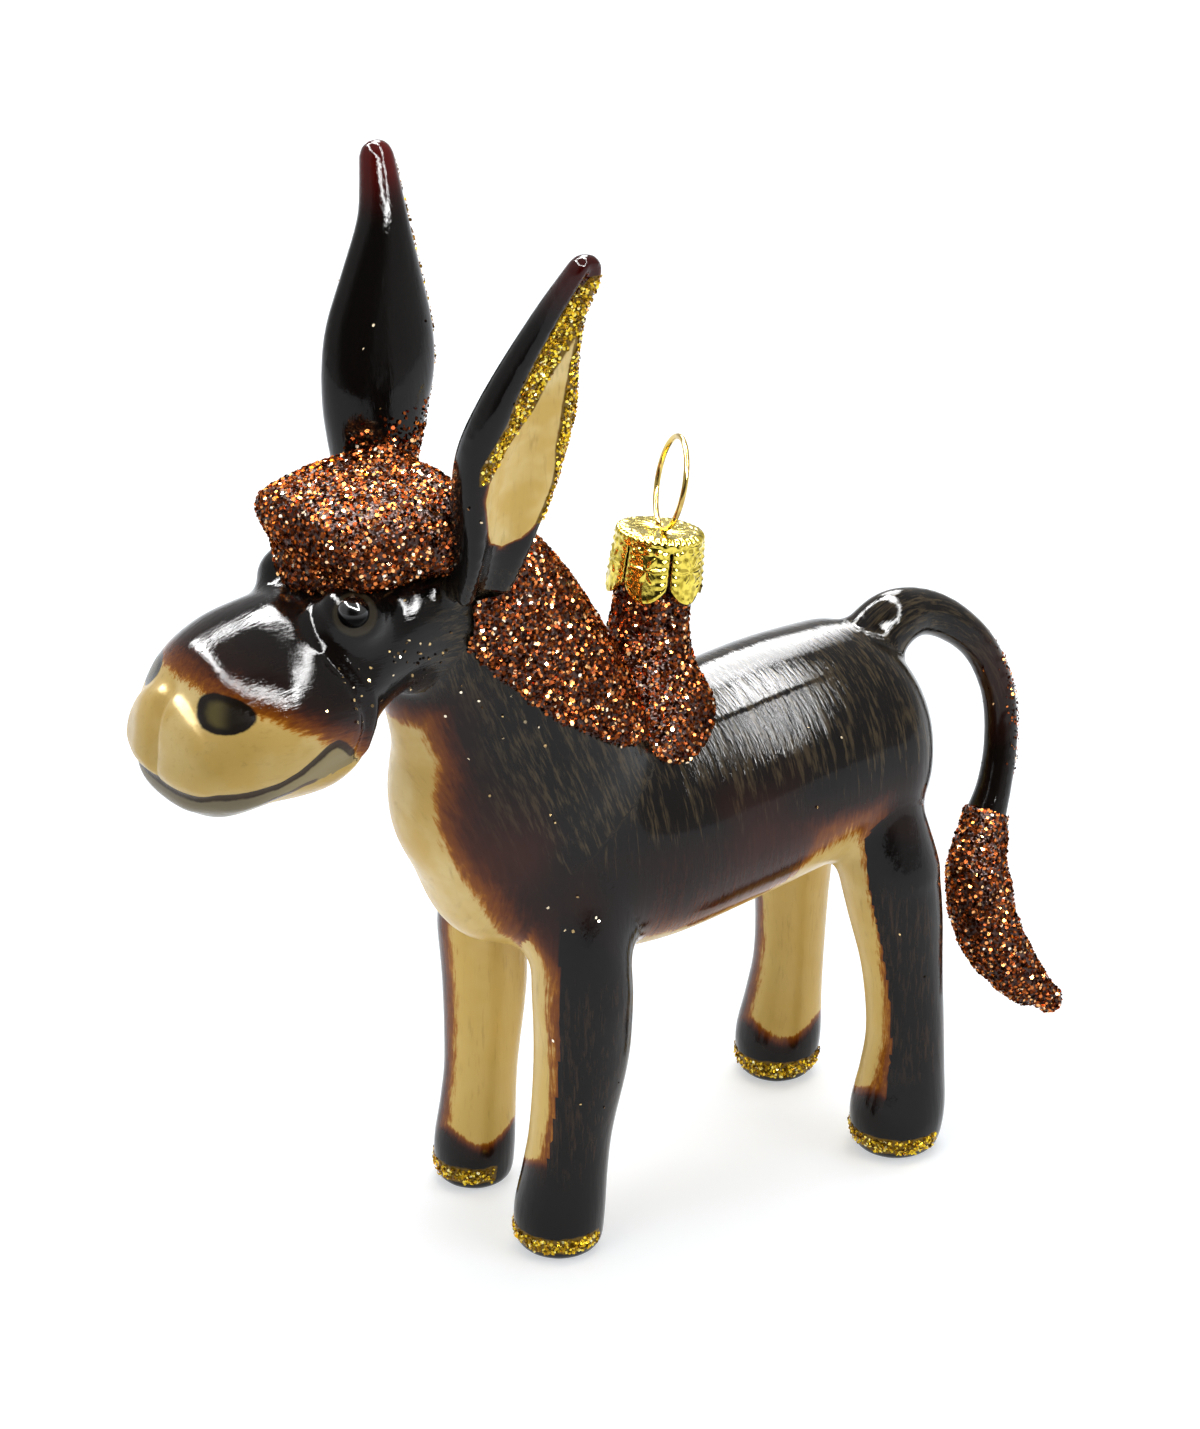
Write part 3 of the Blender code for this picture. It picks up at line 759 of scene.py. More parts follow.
# ---------------------------------------------------------------------------------------------------------
# Node trees
# ---------------------------------------------------------------------------------------------------------
class Value:
    """A number from a node. Arithmetic on it adds Math nodes."""

    def __init__(self, nodes, socket):
        self.nodes, self.socket = nodes, socket

    def _with(self, operation, *others):
        node = self.nodes.add("ShaderNodeMath", {"operation": operation})
        for slot, value in zip(node.inputs, others):
            self.nodes.feed(slot, value)
        return Value(self.nodes, node.outputs[0])

    def __add__(self, other):
        return self._with("ADD", self, other)

    def __sub__(self, other):
        return self._with("SUBTRACT", self, other)

    def __rsub__(self, other):
        return self._with("SUBTRACT", other, self)

    def __mul__(self, other):
        return self._with("MULTIPLY", self, other)

    def __truediv__(self, other):
        return self._with("DIVIDE", self, other)

    def __rtruediv__(self, other):
        return self._with("DIVIDE", other, self)

    def __neg__(self):
        return self._with("MULTIPLY", self, -1.0)

    def __abs__(self):
        return self._with("ABSOLUTE", self)

    __radd__ = __add__
    __rmul__ = __mul__

    def highest(self, other):
        return self._with("MAXIMUM", self, other)

    def step(self, low, high):
        """0 at low, 1 at high, soft between; low may be the larger."""
        node = self.nodes.add("ShaderNodeMapRange", {"interpolation_type": "SMOOTHSTEP"},
                              {"Value": self, "From Min": low, "From Max": high})
        return Value(self.nodes, node.outputs["Result"])


class Nodes:
    """A node tree, and one method that adds any node to it."""

    def __init__(self, tree):
        self.tree = tree

    def feed(self, socket, value):
        if isinstance(value, Value):
            value = value.socket
        if isinstance(value, bpy.types.NodeSocket):
            self.tree.links.new(value, socket)
        elif socket.type == "RGBA" and len(value) == 3:
            socket.default_value = (*value, 1)
        else:
            socket.default_value = value

    def add(self, kind, settings=None, sockets=None):
        node = self.tree.nodes.new(kind)
        for name, value in (settings or {}).items():
            if name == "stops":
                ramp = node.color_ramp
                while len(ramp.elements) < len(value):
                    ramp.elements.new(0.5)
                for element, (place, colour) in zip(ramp.elements, value):
                    element.position = place
                    element.color = (*colour, 1)
            else:
                setattr(node, name, value)
        for name, value in (sockets or {}).items():
            self.feed(node.inputs[name], value)
        return node

    def vector_maths(self, operation, sockets, output=0):
        return self.add("ShaderNodeVectorMath", {"operation": operation}, sockets).outputs[output]

    def part_of(self, vector, axis):
        return Value(self, self.add("ShaderNodeSeparateXYZ", None, {0: vector}).outputs[axis])

    def mix(self, first, second, share):
        return self.add("ShaderNodeMix", {"data_type": "RGBA"}, {0: share, 6: first, 7: second}).outputs[2]

    def ramp(self, value, stops):
        return self.add("ShaderNodeValToRGB", {"stops": stops}, {0: value}).outputs[0]


class Paint(Nodes):
    """A material and its nodes."""

    def __init__(self, name):
        self.material = bpy.data.materials.new(name)
        self.material.use_nodes = True
        super().__init__(self.material.node_tree)

    def mark(self, name):
        return Value(self, self.add("ShaderNodeAttribute", {"attribute_name": name}).outputs["Fac"])

    def marks(self, name):
        return self.add("ShaderNodeAttribute", {"attribute_name": name}).outputs["Vector"]

    def place(self):
        """Object coordinates in millimetres."""
        spot = self.add("ShaderNodeTexCoord").outputs["Object"]
        return self.vector_maths("SCALE", {0: spot, "Scale": 1 / MM})

    def noise(self, vector, scale, detail=2.0, roughness=0.5):
        node = self.add("ShaderNodeTexNoise", {"noise_dimensions": "3D"},
                        {"Vector": vector, "Scale": scale, "Detail": detail, "Roughness": roughness})
        return Value(self, node.outputs[0])

    def cells(self, vector, scale):
        node = self.add("ShaderNodeTexVoronoi", {"feature": "F1"}, {"Vector": vector, "Scale": scale})
        return Value(self, node.outputs["Distance"])

    def bump(self, height, strength, distance):
        sockets = {"Height": height, "Strength": strength, "Distance": distance}
        return self.add("ShaderNodeBump", None, sockets).outputs[0]

    def finish(self, **sockets):
        """Feeds the surface shader and gives the material."""
        shader = self.tree.nodes["Principled BSDF"]
        for name, value in sockets.items():
            self.feed(shader.inputs[name.replace("_", " ")], value)
        return self.material


# ---------------------------------------------------------------------------------------------------------
# Glass
# ---------------------------------------------------------------------------------------------------------
# Lacquer from thick to thin: near black, red-brown, amber and the gold of the ground below.
LACQUER_TONES = (
    (0.0, (0.0045, 0.0036, 0.0032)), (0.50, (0.0065, 0.0044, 0.0036)), (0.67, (0.0130, 0.0054, 0.0040)),
    (0.735, (0.040, 0.0100, 0.0042)), (0.79, (0.100, 0.0240, 0.0045)), (0.855, (0.185, 0.052, 0.005)),
    (0.885, (0.34, 0.125, 0.011)), (0.94, (0.54, 0.34, 0.07)))
# Painted shade: the cream darkens towards the underside of the muzzle.
PAINTED_MUZZLE_SHADE = (0.34, 0.225, 0.045)
CREAM_SPECKLE = (0.17, 0.105, 0.030)
CREAM_SHADE = (0.38, 0.25, 0.075)
FLANK_RED = (0.040, 0.0095, 0.0050)
SHIN_BROWN = (0.036, 0.020, 0.011)
EAR_TIP_RED = (0.085, 0.0030, 0.0020)
EYE_RING = (0.034, 0.027, 0.016)
CHIN_GREY = (0.20, 0.170, 0.095)
SECOND_LINE = (0.085, 0.060, 0.055)
NOSTRIL_EDGE = (0.009, 0.006, 0.004)
NOSTRIL_FRONT = (0.080, 0.062, 0.018)
NOSTRIL_REAR = (0.012, 0.008, 0.004)
GOLD_GLUE = (0.15, 0.085, 0.006)


class GlassPaint(Paint):
    """The skin's paint, with the places and noises that all of its layers share."""

    def __init__(self, name):
        super().__init__(name)
        self.spot = self.place()
        self.run, self.height = self.part_of(self.spot, 0), self.part_of(self.spot, 2)
        self.cream = self.mark("cream")
        stroke = self.marks("stroke")
        self.wide = self.noise(stroke, 0.55, 3.0, 0.55)
        self.hairs = self.noise(stroke, 1.5, 4.0, 0.6)
        self.brush = self.hairs * 0.55 + self.wide * 0.45
        self.cloud = self.noise(self.spot, 0.07, 2.0)
        self.grain = self.noise(self.spot, 0.9, 3.0, 0.6)

    def pearly_cream(self, settings):
        """Clouded cream, golden on the legs, with painted shade under the muzzle, specked by the brush."""
        clouds = self.noise(self.spot, 0.16, 3.0).step(0.35, 0.66)
        colour = self.mix(settings.cream, settings.cream_deep, clouds)
        colour = self.mix(colour, settings.cream_gold, self.height.step(52.0, 22.0) * 0.8)
        # Painted shade, darker towards the muzzle's underside.
        under = (self.height + (self.cloud - 0.5) * 6.0).step(79.0, 73.0) * self.run.step(-38.0, -42.0)
        colour = self.mix(colour, PAINTED_MUZZLE_SHADE, under * 0.6)
        colour = self.mix(colour, CREAM_SPECKLE, (self.wide * self.hairs).step(0.26, 0.50) * 0.35)
        return self.mix(colour, CREAM_SHADE, self.height.step(95.0, 84.0) * 0.35)

    def brush_marks(self, base, settings):
        """Olive strokes on the upper flank, red low on the flank, brown on the shins, red ear tips."""
        dark = -self.cream
        upper = (self.height + (self.wide - 0.5) * 34.0 + (self.cloud - 0.5) * 12.0).step(53.0, 58.0)
        upper = upper * dark.step(2.0, 7.0) * self.run.step(-31.0, -24.0) * self.height.step(93.0, 87.0)
        base = self.mix(base, settings.olive, self.brush.step(0.46, 0.62) * upper)
        flank = self.height.step(66.0, 52.0) * self.height.step(33.0, 42.0) * dark.step(16.0, 3.0)
        patches = self.noise(self.spot, 0.05, 2.0).step(0.45, 0.68) * dark.step(0.5, 2.0)
        base = self.mix(base, FLANK_RED, patches * flank * 0.85)
        base = self.mix(base, EAR_TIP_RED, self.mark("ear_tip") * self.cloud.step(0.30, 0.60))
        shin = self.height.step(40.0, 34.0) * self.height.step(9.0, 14.0) * dark.step(1.5, 3.5)
        return self.mix(base, SHIN_BROWN, self.brush.step(0.48, 0.62) * shin * 0.7)

    def painted_mouth(self, base, settings):
        """Grey lower lip, the dark line of the mouth and a fainter one below it."""
        mouth, lip = self.mark("mouth"), self.mark("lip")
        below = (mouth + (self.hairs - 0.5) * 0.3).step(0.1, 0.5)
        below = below * (-lip).step(-0.25, 0.3) * mouth.step(8.0, 7.0)
        grey = self.mix(settings.lip_grey, CHIN_GREY, self.run.step(-54.0, -46.0))
        base = self.mix(base, grey, below * 0.85 * self.run.step(-39.0, -40.5))
        line = abs(mouth + (self.grain - 0.5) * 0.25).step(0.62, 0.34)
        base = self.mix(base, settings.lip_line, line * 0.95)
        faint = abs(lip + (self.grain - 0.5) * 0.2).step(0.42, 0.22)
        faint = faint * self.run.step(-44.4, -45.2) * self.run.step(-53.5, -51.0)
        return self.mix(base, SECOND_LINE, faint * 0.9)

    def nostrils(self, base):
        nostril = self.mark("nostril") + (self.grain - 0.5) * 0.25
        inside = self.mix(NOSTRIL_FRONT, NOSTRIL_REAR, self.mark("nostril_along").step(-1.2, 1.0))
        hole = self.mix(NOSTRIL_EDGE, inside, nostril.step(0.35, 1.0))
        return self.mix(base, hole, nostril.step(-0.12, 0.10))


def lacquered_glass(settings):
    """Dark brushed lacquer over pearly cream, with amber where the lacquer runs thin."""
    paint = GlassPaint("lacquered_glass")
    depth = paint.cream + (paint.wide - 0.5) * 1.6 + (paint.hairs - 0.5) * 2.2 + (paint.grain - 0.5) * 0.9
    thin = depth / (1.05 + paint.cloud * 1.9)
    lacquer = paint.ramp((thin + 7.0) / 8.0, LACQUER_TONES)
    base = paint.mix(lacquer, paint.pearly_cream(settings), depth.step(0.05, 0.75))
    base = paint.brush_marks(base, settings)
    base = paint.mix(base, EYE_RING, paint.mark("eye").step(2.65, 2.25))
    base = paint.nostrils(paint.painted_mouth(base, settings))
    rim = paint.mark("ear_rim").highest(paint.mark("hoof_rim"))
    base = paint.mix(base, GOLD_GLUE, rim.step(-0.1, 0.2))
    creamy = depth.step(-0.3, 0.6)
    return paint.finish(
        Base_Color=base, Metallic=creamy * 0.10, Roughness=0.008 + paint.hairs * 0.02 + creamy * 0.24,
        Normal=paint.bump(paint.wide * 0.9 + paint.hairs * 0.5, 0.16, 0.0003),
        IOR=1.5, Specular_IOR_Level=0.20)


# ---------------------------------------------------------------------------------------------------------
# Glitter
# ---------------------------------------------------------------------------------------------------------
COPPER_TONES = ((0.0, (0.012, 0.003, 0.001)), (0.42, (0.070, 0.014, 0.004)), (0.70, (0.30, 0.068, 0.016)),
                (0.88, (0.70, 0.21, 0.055)), (0.955, (1.0, 0.55, 0.22)), (1.0, (1.0, 0.92, 0.76)))
GOLD_TONES = ((0.0, (0.09, 0.042, 0.003)), (0.30, (0.42, 0.24, 0.008)), (0.70, (0.95, 0.66, 0.03)),
              (0.92, (1.0, 0.86, 0.20)), (1.0, (1.0, 0.98, 0.62)))
STRAY_TONES = ((0.0, (0.30, 0.20, 0.10)), (0.5, (0.72, 0.52, 0.24)), (1.0, (1.0, 0.90, 0.70)))
COPPER_DUST = ((0.030, 0.008, 0.004), (0.11, 0.032, 0.014))
FOIL_EDGE = (0.95, 0.50, 0.22)
# Where stray flakes stuck: centre, reach and share of a full cover.
STRAYS = (((-31, -11, 82), 9, 0.060), ((-40, -12, 81), 6, 0.030), ((-22, -13, 72), 11, 0.026),
          ((-17, -14, 62), 9, 0.006), ((-12, -15, 46), 6, 0.030), ((-10, -16, 25), 14, 0.004),
          ((38, -16, 30), 12, 0.004), ((-21, 9, 112), 14, 0.005), ((-24, -17, 104), 9, 0.008),
          ((-31, 0, 60), 14, 0.003), ((20, -15, 50), 20, 0.002))
PATCH_HALF = 0.0015             # half width of a flake's patch in its OFBake map


def glitter_foil(name, tones, roughness, metallic):
    """Foil flakes, each with its own tone."""
    paint = Paint(name)
    return paint.finish(Base_Color=paint.ramp(paint.mark("tone"), tones), Metallic=metallic,
                        Roughness=roughness, Specular_Tint=FOIL_EDGE)


def glitter_ground(name, dark, light):
    """Glue and foil dust under the flakes."""
    paint = Paint(name)
    spot = paint.place()
    colour = paint.mix(dark, light, paint.noise(spot, 2.0, 3.0).step(0.45, 0.7))
    return paint.finish(Base_Color=colour, Metallic=0.4, Roughness=0.35,
                        Normal=paint.bump(paint.cells(spot, 2.6), 0.8, 0.0002))


class Strewing(Nodes):
    """Geometry Nodes tree with named inputs."""

    def __init__(self, name, inputs):
        group = bpy.data.node_groups.new(name, "GeometryNodeTree")
        super().__init__(group)
        group.interface.new_socket("Geometry", in_out="INPUT", socket_type="NodeSocketGeometry")
        self.sockets = {}
        for label, kind, value in inputs:
            socket = group.interface.new_socket(label, in_out="INPUT", socket_type=kind)
            socket.default_value = value
            self.sockets[label] = socket.identifier
        group.interface.new_socket("Geometry", in_out="OUTPUT", socket_type="NodeSocketGeometry")
        self.start = self.add("NodeGroupInput")
        self.end = self.add("NodeGroupOutput")

    def given(self, label):
        return Value(self, self.start.outputs[label])

    def read(self, name, kind="FLOAT_VECTOR"):
        return self.add("GeometryNodeInputNamedAttribute", {"data_type": kind}, {"Name": name}).outputs[0]

    def stored(self, geometry, name, value, kind="FLOAT_VECTOR", domain="POINT"):
        return self.add("GeometryNodeStoreNamedAttribute", {"data_type": kind, "domain": domain},
                        {"Geometry": geometry, "Name": name, "Value": value}).outputs[0]

    def drawn(self, low, high, seed):
        """A random number for each point."""
        return Value(self, self.add("FunctionNodeRandomValue", {"data_type": "FLOAT"},
                                    {2: low, 3: high, "Seed": seed}).outputs[1])

    def drawn_turn(self, normal_turn, tilt, seed):
        """The surface's own turn, tilted at random and spun any way round."""
        back = -tilt
        low = self.add("ShaderNodeCombineXYZ", None, {"X": back, "Y": back, "Z": 0.0}).outputs[0]
        high = self.add("ShaderNodeCombineXYZ", None, {"X": tilt, "Y": tilt, "Z": 6.28}).outputs[0]
        turn = self.add("FunctionNodeRandomValue", {"data_type": "FLOAT_VECTOR"},
                        {0: low, 1: high, "Seed": seed}).outputs[0]
        turn = self.add("FunctionNodeEulerToRotation", None, {0: turn}).outputs[0]
        return self.add("FunctionNodeRotateRotation", {"rotation_space": "LOCAL"},
                        {"Rotation": normal_turn, "Rotate By": turn}).outputs[0]


def flake_tree(material):
    """Flakes of foil strewn over a surface, tilted at random, each with a tone and its root's place."""
    tree = Strewing("foil_flakes", (
        ("Flakes", "NodeSocketFloat", 9e6), ("Flake radius", "NodeSocketFloat", 0.0002),
        ("Tilt", "NodeSocketFloat", 0.6), ("Lift", "NodeSocketFloat", 0.0002), ("Seed", "NodeSocketInt", 1)))
    seed, radius = tree.given("Seed"), tree.given("Flake radius")
    strewn = tree.add("GeometryNodeDistributePointsOnFaces", {"distribute_method": "RANDOM"},
                      {"Mesh": tree.given("Geometry"), "Seed": seed,
                       "Density": tree.given("Flakes") * tree.read("cover", "FLOAT")})
    rooted = tree.stored(strewn.outputs["Points"], "root", tree.read("OFBake"))
    bare = tree.add("GeometryNodeRemoveAttribute", None, {"Geometry": rooted, "Name": "OFBake"}).outputs[0]
    toned = tree.stored(bare, "tone", tree.drawn(0.0, 1.0, seed), "FLOAT")
    lift = tree.drawn(0.0, tree.given("Lift"), 3)
    raised = tree.vector_maths("SCALE", {0: strewn.outputs["Normal"], "Scale": lift})
    placed = tree.add("GeometryNodeSetPosition", None, {"Geometry": toned, "Offset": raised}).outputs[0]

    flake = tree.add("GeometryNodeMeshCircle", {"fill_type": "NGON"}, {"Vertices": 6, "Radius": radius})
    flake = tree.stored(flake.outputs[0], "place", tree.add("GeometryNodeInputPosition").outputs[0])
    flakes = tree.add("GeometryNodeInstanceOnPoints", None, {
        "Points": placed, "Instance": flake, "Scale": tree.drawn(0.7, 1.2, 17),
        "Rotation": tree.drawn_turn(strewn.outputs["Rotation"], tree.given("Tilt"), 11)}).outputs[0]
    real = tree.add("GeometryNodeRealizeInstances", None, {"Geometry": flakes}).outputs[0]
    local = tree.vector_maths("SCALE", {0: tree.read("place"), "Scale": PATCH_HALF / radius})
    mapped = tree.stored(real, "OFBake", tree.vector_maths("ADD", {0: tree.read("root"), 1: local}),
                         "FLOAT2", "CORNER")
    done = tree.add("GeometryNodeSetMaterial", None, {"Geometry": mapped, "Material": material}).outputs[0]
    tree.feed(tree.end.inputs[0], done)
    return tree


def face_corners(mesh):
    """Index of the point at each corner of every face."""
    corners = np.zeros(len(mesh.loops), np.int32)
    mesh.loops.foreach_get("vertex_index", corners)
    return corners


def face_normals(mesh):
    """Unit normal of every face."""
    normals = np.zeros(len(mesh.polygons) * 3)
    mesh.polygons.foreach_get("normal", normals)
    return normals.reshape(-1, 3)


def unfold(item):
    """Box unwrap of a mesh into six cells, as its OFBake map."""
    mesh = item.data
    sizes = np.zeros(len(mesh.polygons), np.int32)
    mesh.polygons.foreach_get("loop_total", sizes)
    normal = np.repeat(face_normals(mesh), sizes, axis=0)
    points = points_of(item)[face_corners(mesh)]
    flat = (points - points.min(0)) / (np.ptp(points, axis=0).max() + 1e-6)
    axis = np.abs(normal).argmax(1)
    away = np.take_along_axis(normal, axis[:, None], 1)[:, 0] < 0
    pairs = np.array([(1, 2), (0, 2), (0, 1)])[axis]
    cell = np.column_stack([axis, away.astype(int)])
    uv = (cell + 0.02 + np.take_along_axis(flat, pairs, 1) * 0.96) / [3, 2]
    layer = mesh.uv_layers.new(name="OFBake")
    layer.data.foreach_set("uv", uv.astype(np.float32).ravel())


def strew(name, ground, material, flakes, radius, tilt, lift, seed):
    """Flakes over the ground's faces as a plain mesh that rides with the body."""
    unfold(ground)
    item = bpy.data.objects.new(name, ground.data.copy())
    bpy.context.scene.collection.objects.link(item)
    strewing = flake_tree(material)
    modifier = item.modifiers.new("flakes", "NODES")
    modifier.node_group = strewing.tree
    for label, value in (("Flakes", flakes), ("Flake radius", radius), ("Tilt", tilt), ("Lift", lift),
                         ("Seed", seed)):
        modifier[strewing.sockets[label]] = value
    applied(item)
    item.data.name = name
    ground.data.uv_layers.remove(ground.data.uv_layers["OFBake"])
    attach(item, "root")
    return item


def skin_patch(name, weight, cover, lift=None):
    """Copy of the skin's faces where the weight is above nothing, moved out by lift, with its cover."""
    quads = face_corners(GlassSkin.item.data).reshape(-1, 4)
    quads = quads[(weight[quads] > 0).all(1)]
    used = np.unique(quads)
    slot = np.zeros(len(weight), np.int32)
    slot[used] = np.arange(len(used))
    points = GlassSkin.points[used]
    if lift is not None:
        points = points + GlassSkin.normals[used] * lift[used][:, None]
    item = new_mesh(name, points, slot[quads].tolist())
    store(item, "cover", cover[used])
    return smooth_shaded(item)


def covered(item):
    """The object, with flakes allowed everywhere on it."""
    store(item, "cover", np.ones(len(item.data.vertices)))
    return item


def lumpy(item, size, height, seed):
    """Small random swells along the normals, in millimetres."""
    points = points_of(item)
    lumps = sway(points, size, seed) * height
    move_points(item, points + normals_of(item) * lumps[:, None])
    return item


def mane_cover():
    """How far each skin point lies inside the mane."""
    points, parts = GlassSkin.points, GlassSkin.part_names
    inside = -side_distance(points, MANE_BORDER) + sway(points, 2.2, 3) * 0.22
    allowed = np.isin(parts, ("neck", "trunk")) & (points[:, 0] > -30.5)
    return np.where(allowed, inside, -1)


def hoof_rims():
    """How far each skin point lies inside the gold bands round the hooves."""
    points, parts = GlassSkin.points, GlassSkin.part_names
    reach = np.full(len(points), -1.0)
    for which, (start, end) in GOLD_ARCS.items():
        here = parts == "leg_" + which
        spot = points[here]
        path = leg_rows(which)
        azimuth = np.degrees(np.arctan2(spot[:, 1] - path[8, 1], spot[:, 0] - path[8, 0])) % 360
        arc = np.minimum(azimuth - start, end - azimuth) * math.pi / 180 * 5
        band = 1.15 - np.abs(spot[:, 2] - GOLD_HEIGHT)
        reach[here] = np.minimum(band, arc * 0.6) + sway(spot, 1.6, 5) * 0.15
    return reach


def hang(item):
    """Moves a mesh from the hanger's own frame into place."""
    lean = Vector(HANGER_LEAN).normalized()
    turn = Vector((0, 0, 1)).rotation_difference(lean).to_matrix().to_4x4()
    item.data.transform(Matrix.Translation(Vector(HANGER_TOP) * MM) @ turn)
    item.data.update()
    return item


def stem_ground():
    """Crust round the neck of glass that the cap sits on."""
    sides = 72
    around = np.linspace(0, 2 * math.pi, sides, endpoint=False)
    profile = smooth_rows(STEM, 60)
    rings = np.array([np.column_stack([r * np.cos(around), r * np.sin(around), np.full(sides, z)])
                      for r, z in profile])
    item = hang(new_mesh("stem_crust", rings.reshape(-1, 3), ring_faces(len(rings), sides)))
    return covered(smooth_shaded(facing_out(item)))


def forelock_ground():
    """Puffed block of glitter over the brow, drawn out into a peak at its front right corner."""
    spine = Spine(FORELOCK, 60, side=FORELOCK_SIDE, axis=FORELOCK_AXIS)
    rings = loft_rings(spine, 110, FORELOCK_DOMES)
    item = new_mesh("forelock_crust", rings.reshape(-1, 3), ring_faces(len(rings), 110))
    facing_out(item)
    points = points_of(item)
    x, y, z = points.T
    peak = bump_at(points, (-38.5, 7.5, 94.5), (5.0, 5.5, 4.5), 0.8)
    droop = bump_at(points, (-38.8, 1.5, 90.0), (3.0, 4.5, 3.0), 2.0)
    points += np.array([-0.8, 0.5, 0.1]) * peak[:, None] + np.array([-0.5, 0.0, -0.9]) * droop[:, None]
    waist = np.exp(-((z - 92.2) / 1.6) ** 2) * smoothstep(-33, -37, x)
    points[:, 0] += 0.7 * waist
    move_points(item, points)
    return covered(smooth_shaded(lumpy(item, 9.0, 0.28, 8)))


def tuft_ground():
    """Crust round the end of the tail."""
    path = smooth_rows(tube_rows(TAIL), 500)[int(TUFT_START * 499):]
    path[:, 3:5] += 0.12 + 0.1 * smoothstep(0, 30, np.arange(len(path)))[:, None]
    rings = loft_rings(Spine(path, 110), 44, (0, 0.8))
    item = facing_out(new_mesh("tuft_crust", rings.reshape(-1, 3), ring_faces(len(rings), 44)))
    return covered(smooth_shaded(lumpy(item, 4.0, 0.14, 12)))


# ---------------------------------------------------------------------------------------------------------
# Eyes and hanger
# ---------------------------------------------------------------------------------------------------------
def eye_bead(name, centre):
    """A ball that knows how far each point lies above its middle."""
    rings = ball_rings((0, 0, 0), EYE_RADIUS, 48, 32)
    item = facing_out(new_mesh(name, rings.reshape(-1, 3) + np.array(centre), ring_faces(32, 48)))
    store(item, "rise", points_of(item)[:, 2] - centre[2])
    return smooth_shaded(item)


def petal_emboss(across, height):
    """Raised pattern of one petal: a six-leaved star, short bars down both sides and beads above."""
    star = np.hypot(across, height + 3.7)
    turn = np.arctan2(height + 3.7, across)
    leaf = np.abs((turn / (math.pi / 3) + 0.5) % 1 - 0.5) * (math.pi / 3) * star
    width = 0.30 * np.sin(math.pi * np.clip((star - 0.15) / 1.75, 0, 1)) + 1e-3
    raised = np.clip(1 - (leaf / width) ** 2, 0, 1) * 0.19
    bars = 0.5 + 0.5 * np.cos(2 * math.pi * height / 0.9)
    side = np.exp(-((np.abs(across) - 1.9) / 0.36) ** 2)
    raised = np.maximum(raised, side * bars * 0.24)
    dots = 0.5 + 0.5 * np.cos(2 * math.pi * across / 1.25)
    dots = dots * (0.5 + 0.5 * np.cos(2 * math.pi * (height + 1.55) / 1.0))
    upper = smoothstep(-2.3, -1.9, height) * smoothstep(1.9, 1.5, np.abs(across))
    return np.maximum(raised, dots * upper * 0.24)


def cap_rings(angle, place):
    """Rings of the cap from its middle out and down: rippled disc, beaded shoulder and embossed petals."""
    rings = []
    for r in DISC_RADII:
        ripple = 0.09 * np.cos(angle * 14 + r * 5) * (r > 0.5)
        rings.append((np.full_like(angle, r), 0.06 - 0.10 * (1 - r / DISC_EDGE) + ripple))
    for t in np.linspace(0, 1, 9)[1:]:
        bead = 0.12 * np.cos(angle * 40) * math.sin(math.pi * t)
        rings.append((DISC_EDGE + (CAP_RADIUS - 4.25) * math.sin(t * math.pi / 2) + bead,
                      0.06 - 0.85 * (1 - math.cos(t * math.pi / 2)) + bead * 0.6))
    shoulder = len(rings)
    point = np.sin(math.pi * np.clip((place - SLOT_SHARE) / (1 - 2 * SLOT_SHARE), 0, 1)) ** 0.8
    edge = -CAP_HEIGHT - PETAL_POINT * point
    across = (place - 0.5) * 2 * math.pi / PETALS * CAP_RADIUS
    beads = 0.5 + 0.5 * np.cos(2 * math.pi * across / 0.75)
    puff = 0.10 * np.cos(np.clip((place - 0.5) * 2, -1, 1) * math.pi / 2)
    for t in np.linspace(0, 1, 64)[1:]:
        height = SHOULDER_FOOT + (edge - SHOULDER_FOOT) * t
        border = 0.13 * swell(height - edge, 0.42, 0.26) * beads
        raised = np.maximum(petal_emboss(across, height) * smoothstep(-0.1, 0.5, height - edge), border)
        flare = CAP_FLARE * (height / -CAP_HEIGHT) + puff * smoothstep(-1, -3, height)
        rings.append((CAP_RADIUS + flare + raised - 0.12, height))
    rings = np.array([np.column_stack([r * np.cos(angle), r * np.sin(angle), z]) for r, z in rings])
    return rings, shoulder


def slotted_faces(count, sides, slot_top):
    """Faces between the rings, left out between the petals from slot_top down, and the disc's middle."""
    faces = []
    for row in range(count - 1):
        for k in range(sides):
            if k % PETAL_COLUMNS == PETAL_COLUMNS - 1 and row >= slot_top:
                continue
            here, below = row * sides, (row + 1) * sides
            after = (k + 1) % sides
            faces.append((here + k, here + after, below + after, below + k))
    faces.append(tuple(range(sides)))
    return faces


def tin_cap():
    """Thin embossed cup with six slotted petals and a beaded rim."""
    share = np.linspace(SLOT_SHARE, 1 - SLOT_SHARE, PETAL_COLUMNS)
    angle = np.concatenate([(k + share) * 2 * math.pi / PETALS for k in range(PETALS)]) + PETAL_TURN
    rings, shoulder = cap_rings(angle, np.tile(share, PETALS))
    faces = slotted_faces(len(rings), len(angle), shoulder + 8)
    item = facing_out(new_mesh("tin_cap", rings.reshape(-1, 3), faces))
    if face_normals(item.data)[-1, 2] < 0:
        item.data.flip_normals()
    points = points_of(item)
    wire = [np.hypot(points[:, 0] - end * LEG_SPREAD * math.cos(RING_TURN),
                     points[:, 1] - end * LEG_SPREAD * math.sin(RING_TURN)) for end in (-1, 1)]
    # Distance from the wire's ends on the top, for the painted shade that stands in for the holes.
    store(item, "hole", np.where(points[:, 2] > -0.6, np.min(wire, axis=0), 9))
    modifier = item.modifiers.new("wall", "SOLIDIFY")
    modifier.thickness = CAP_WALL * MM
    modifier.offset = -1
    return smooth_shaded(hang(applied(item)))


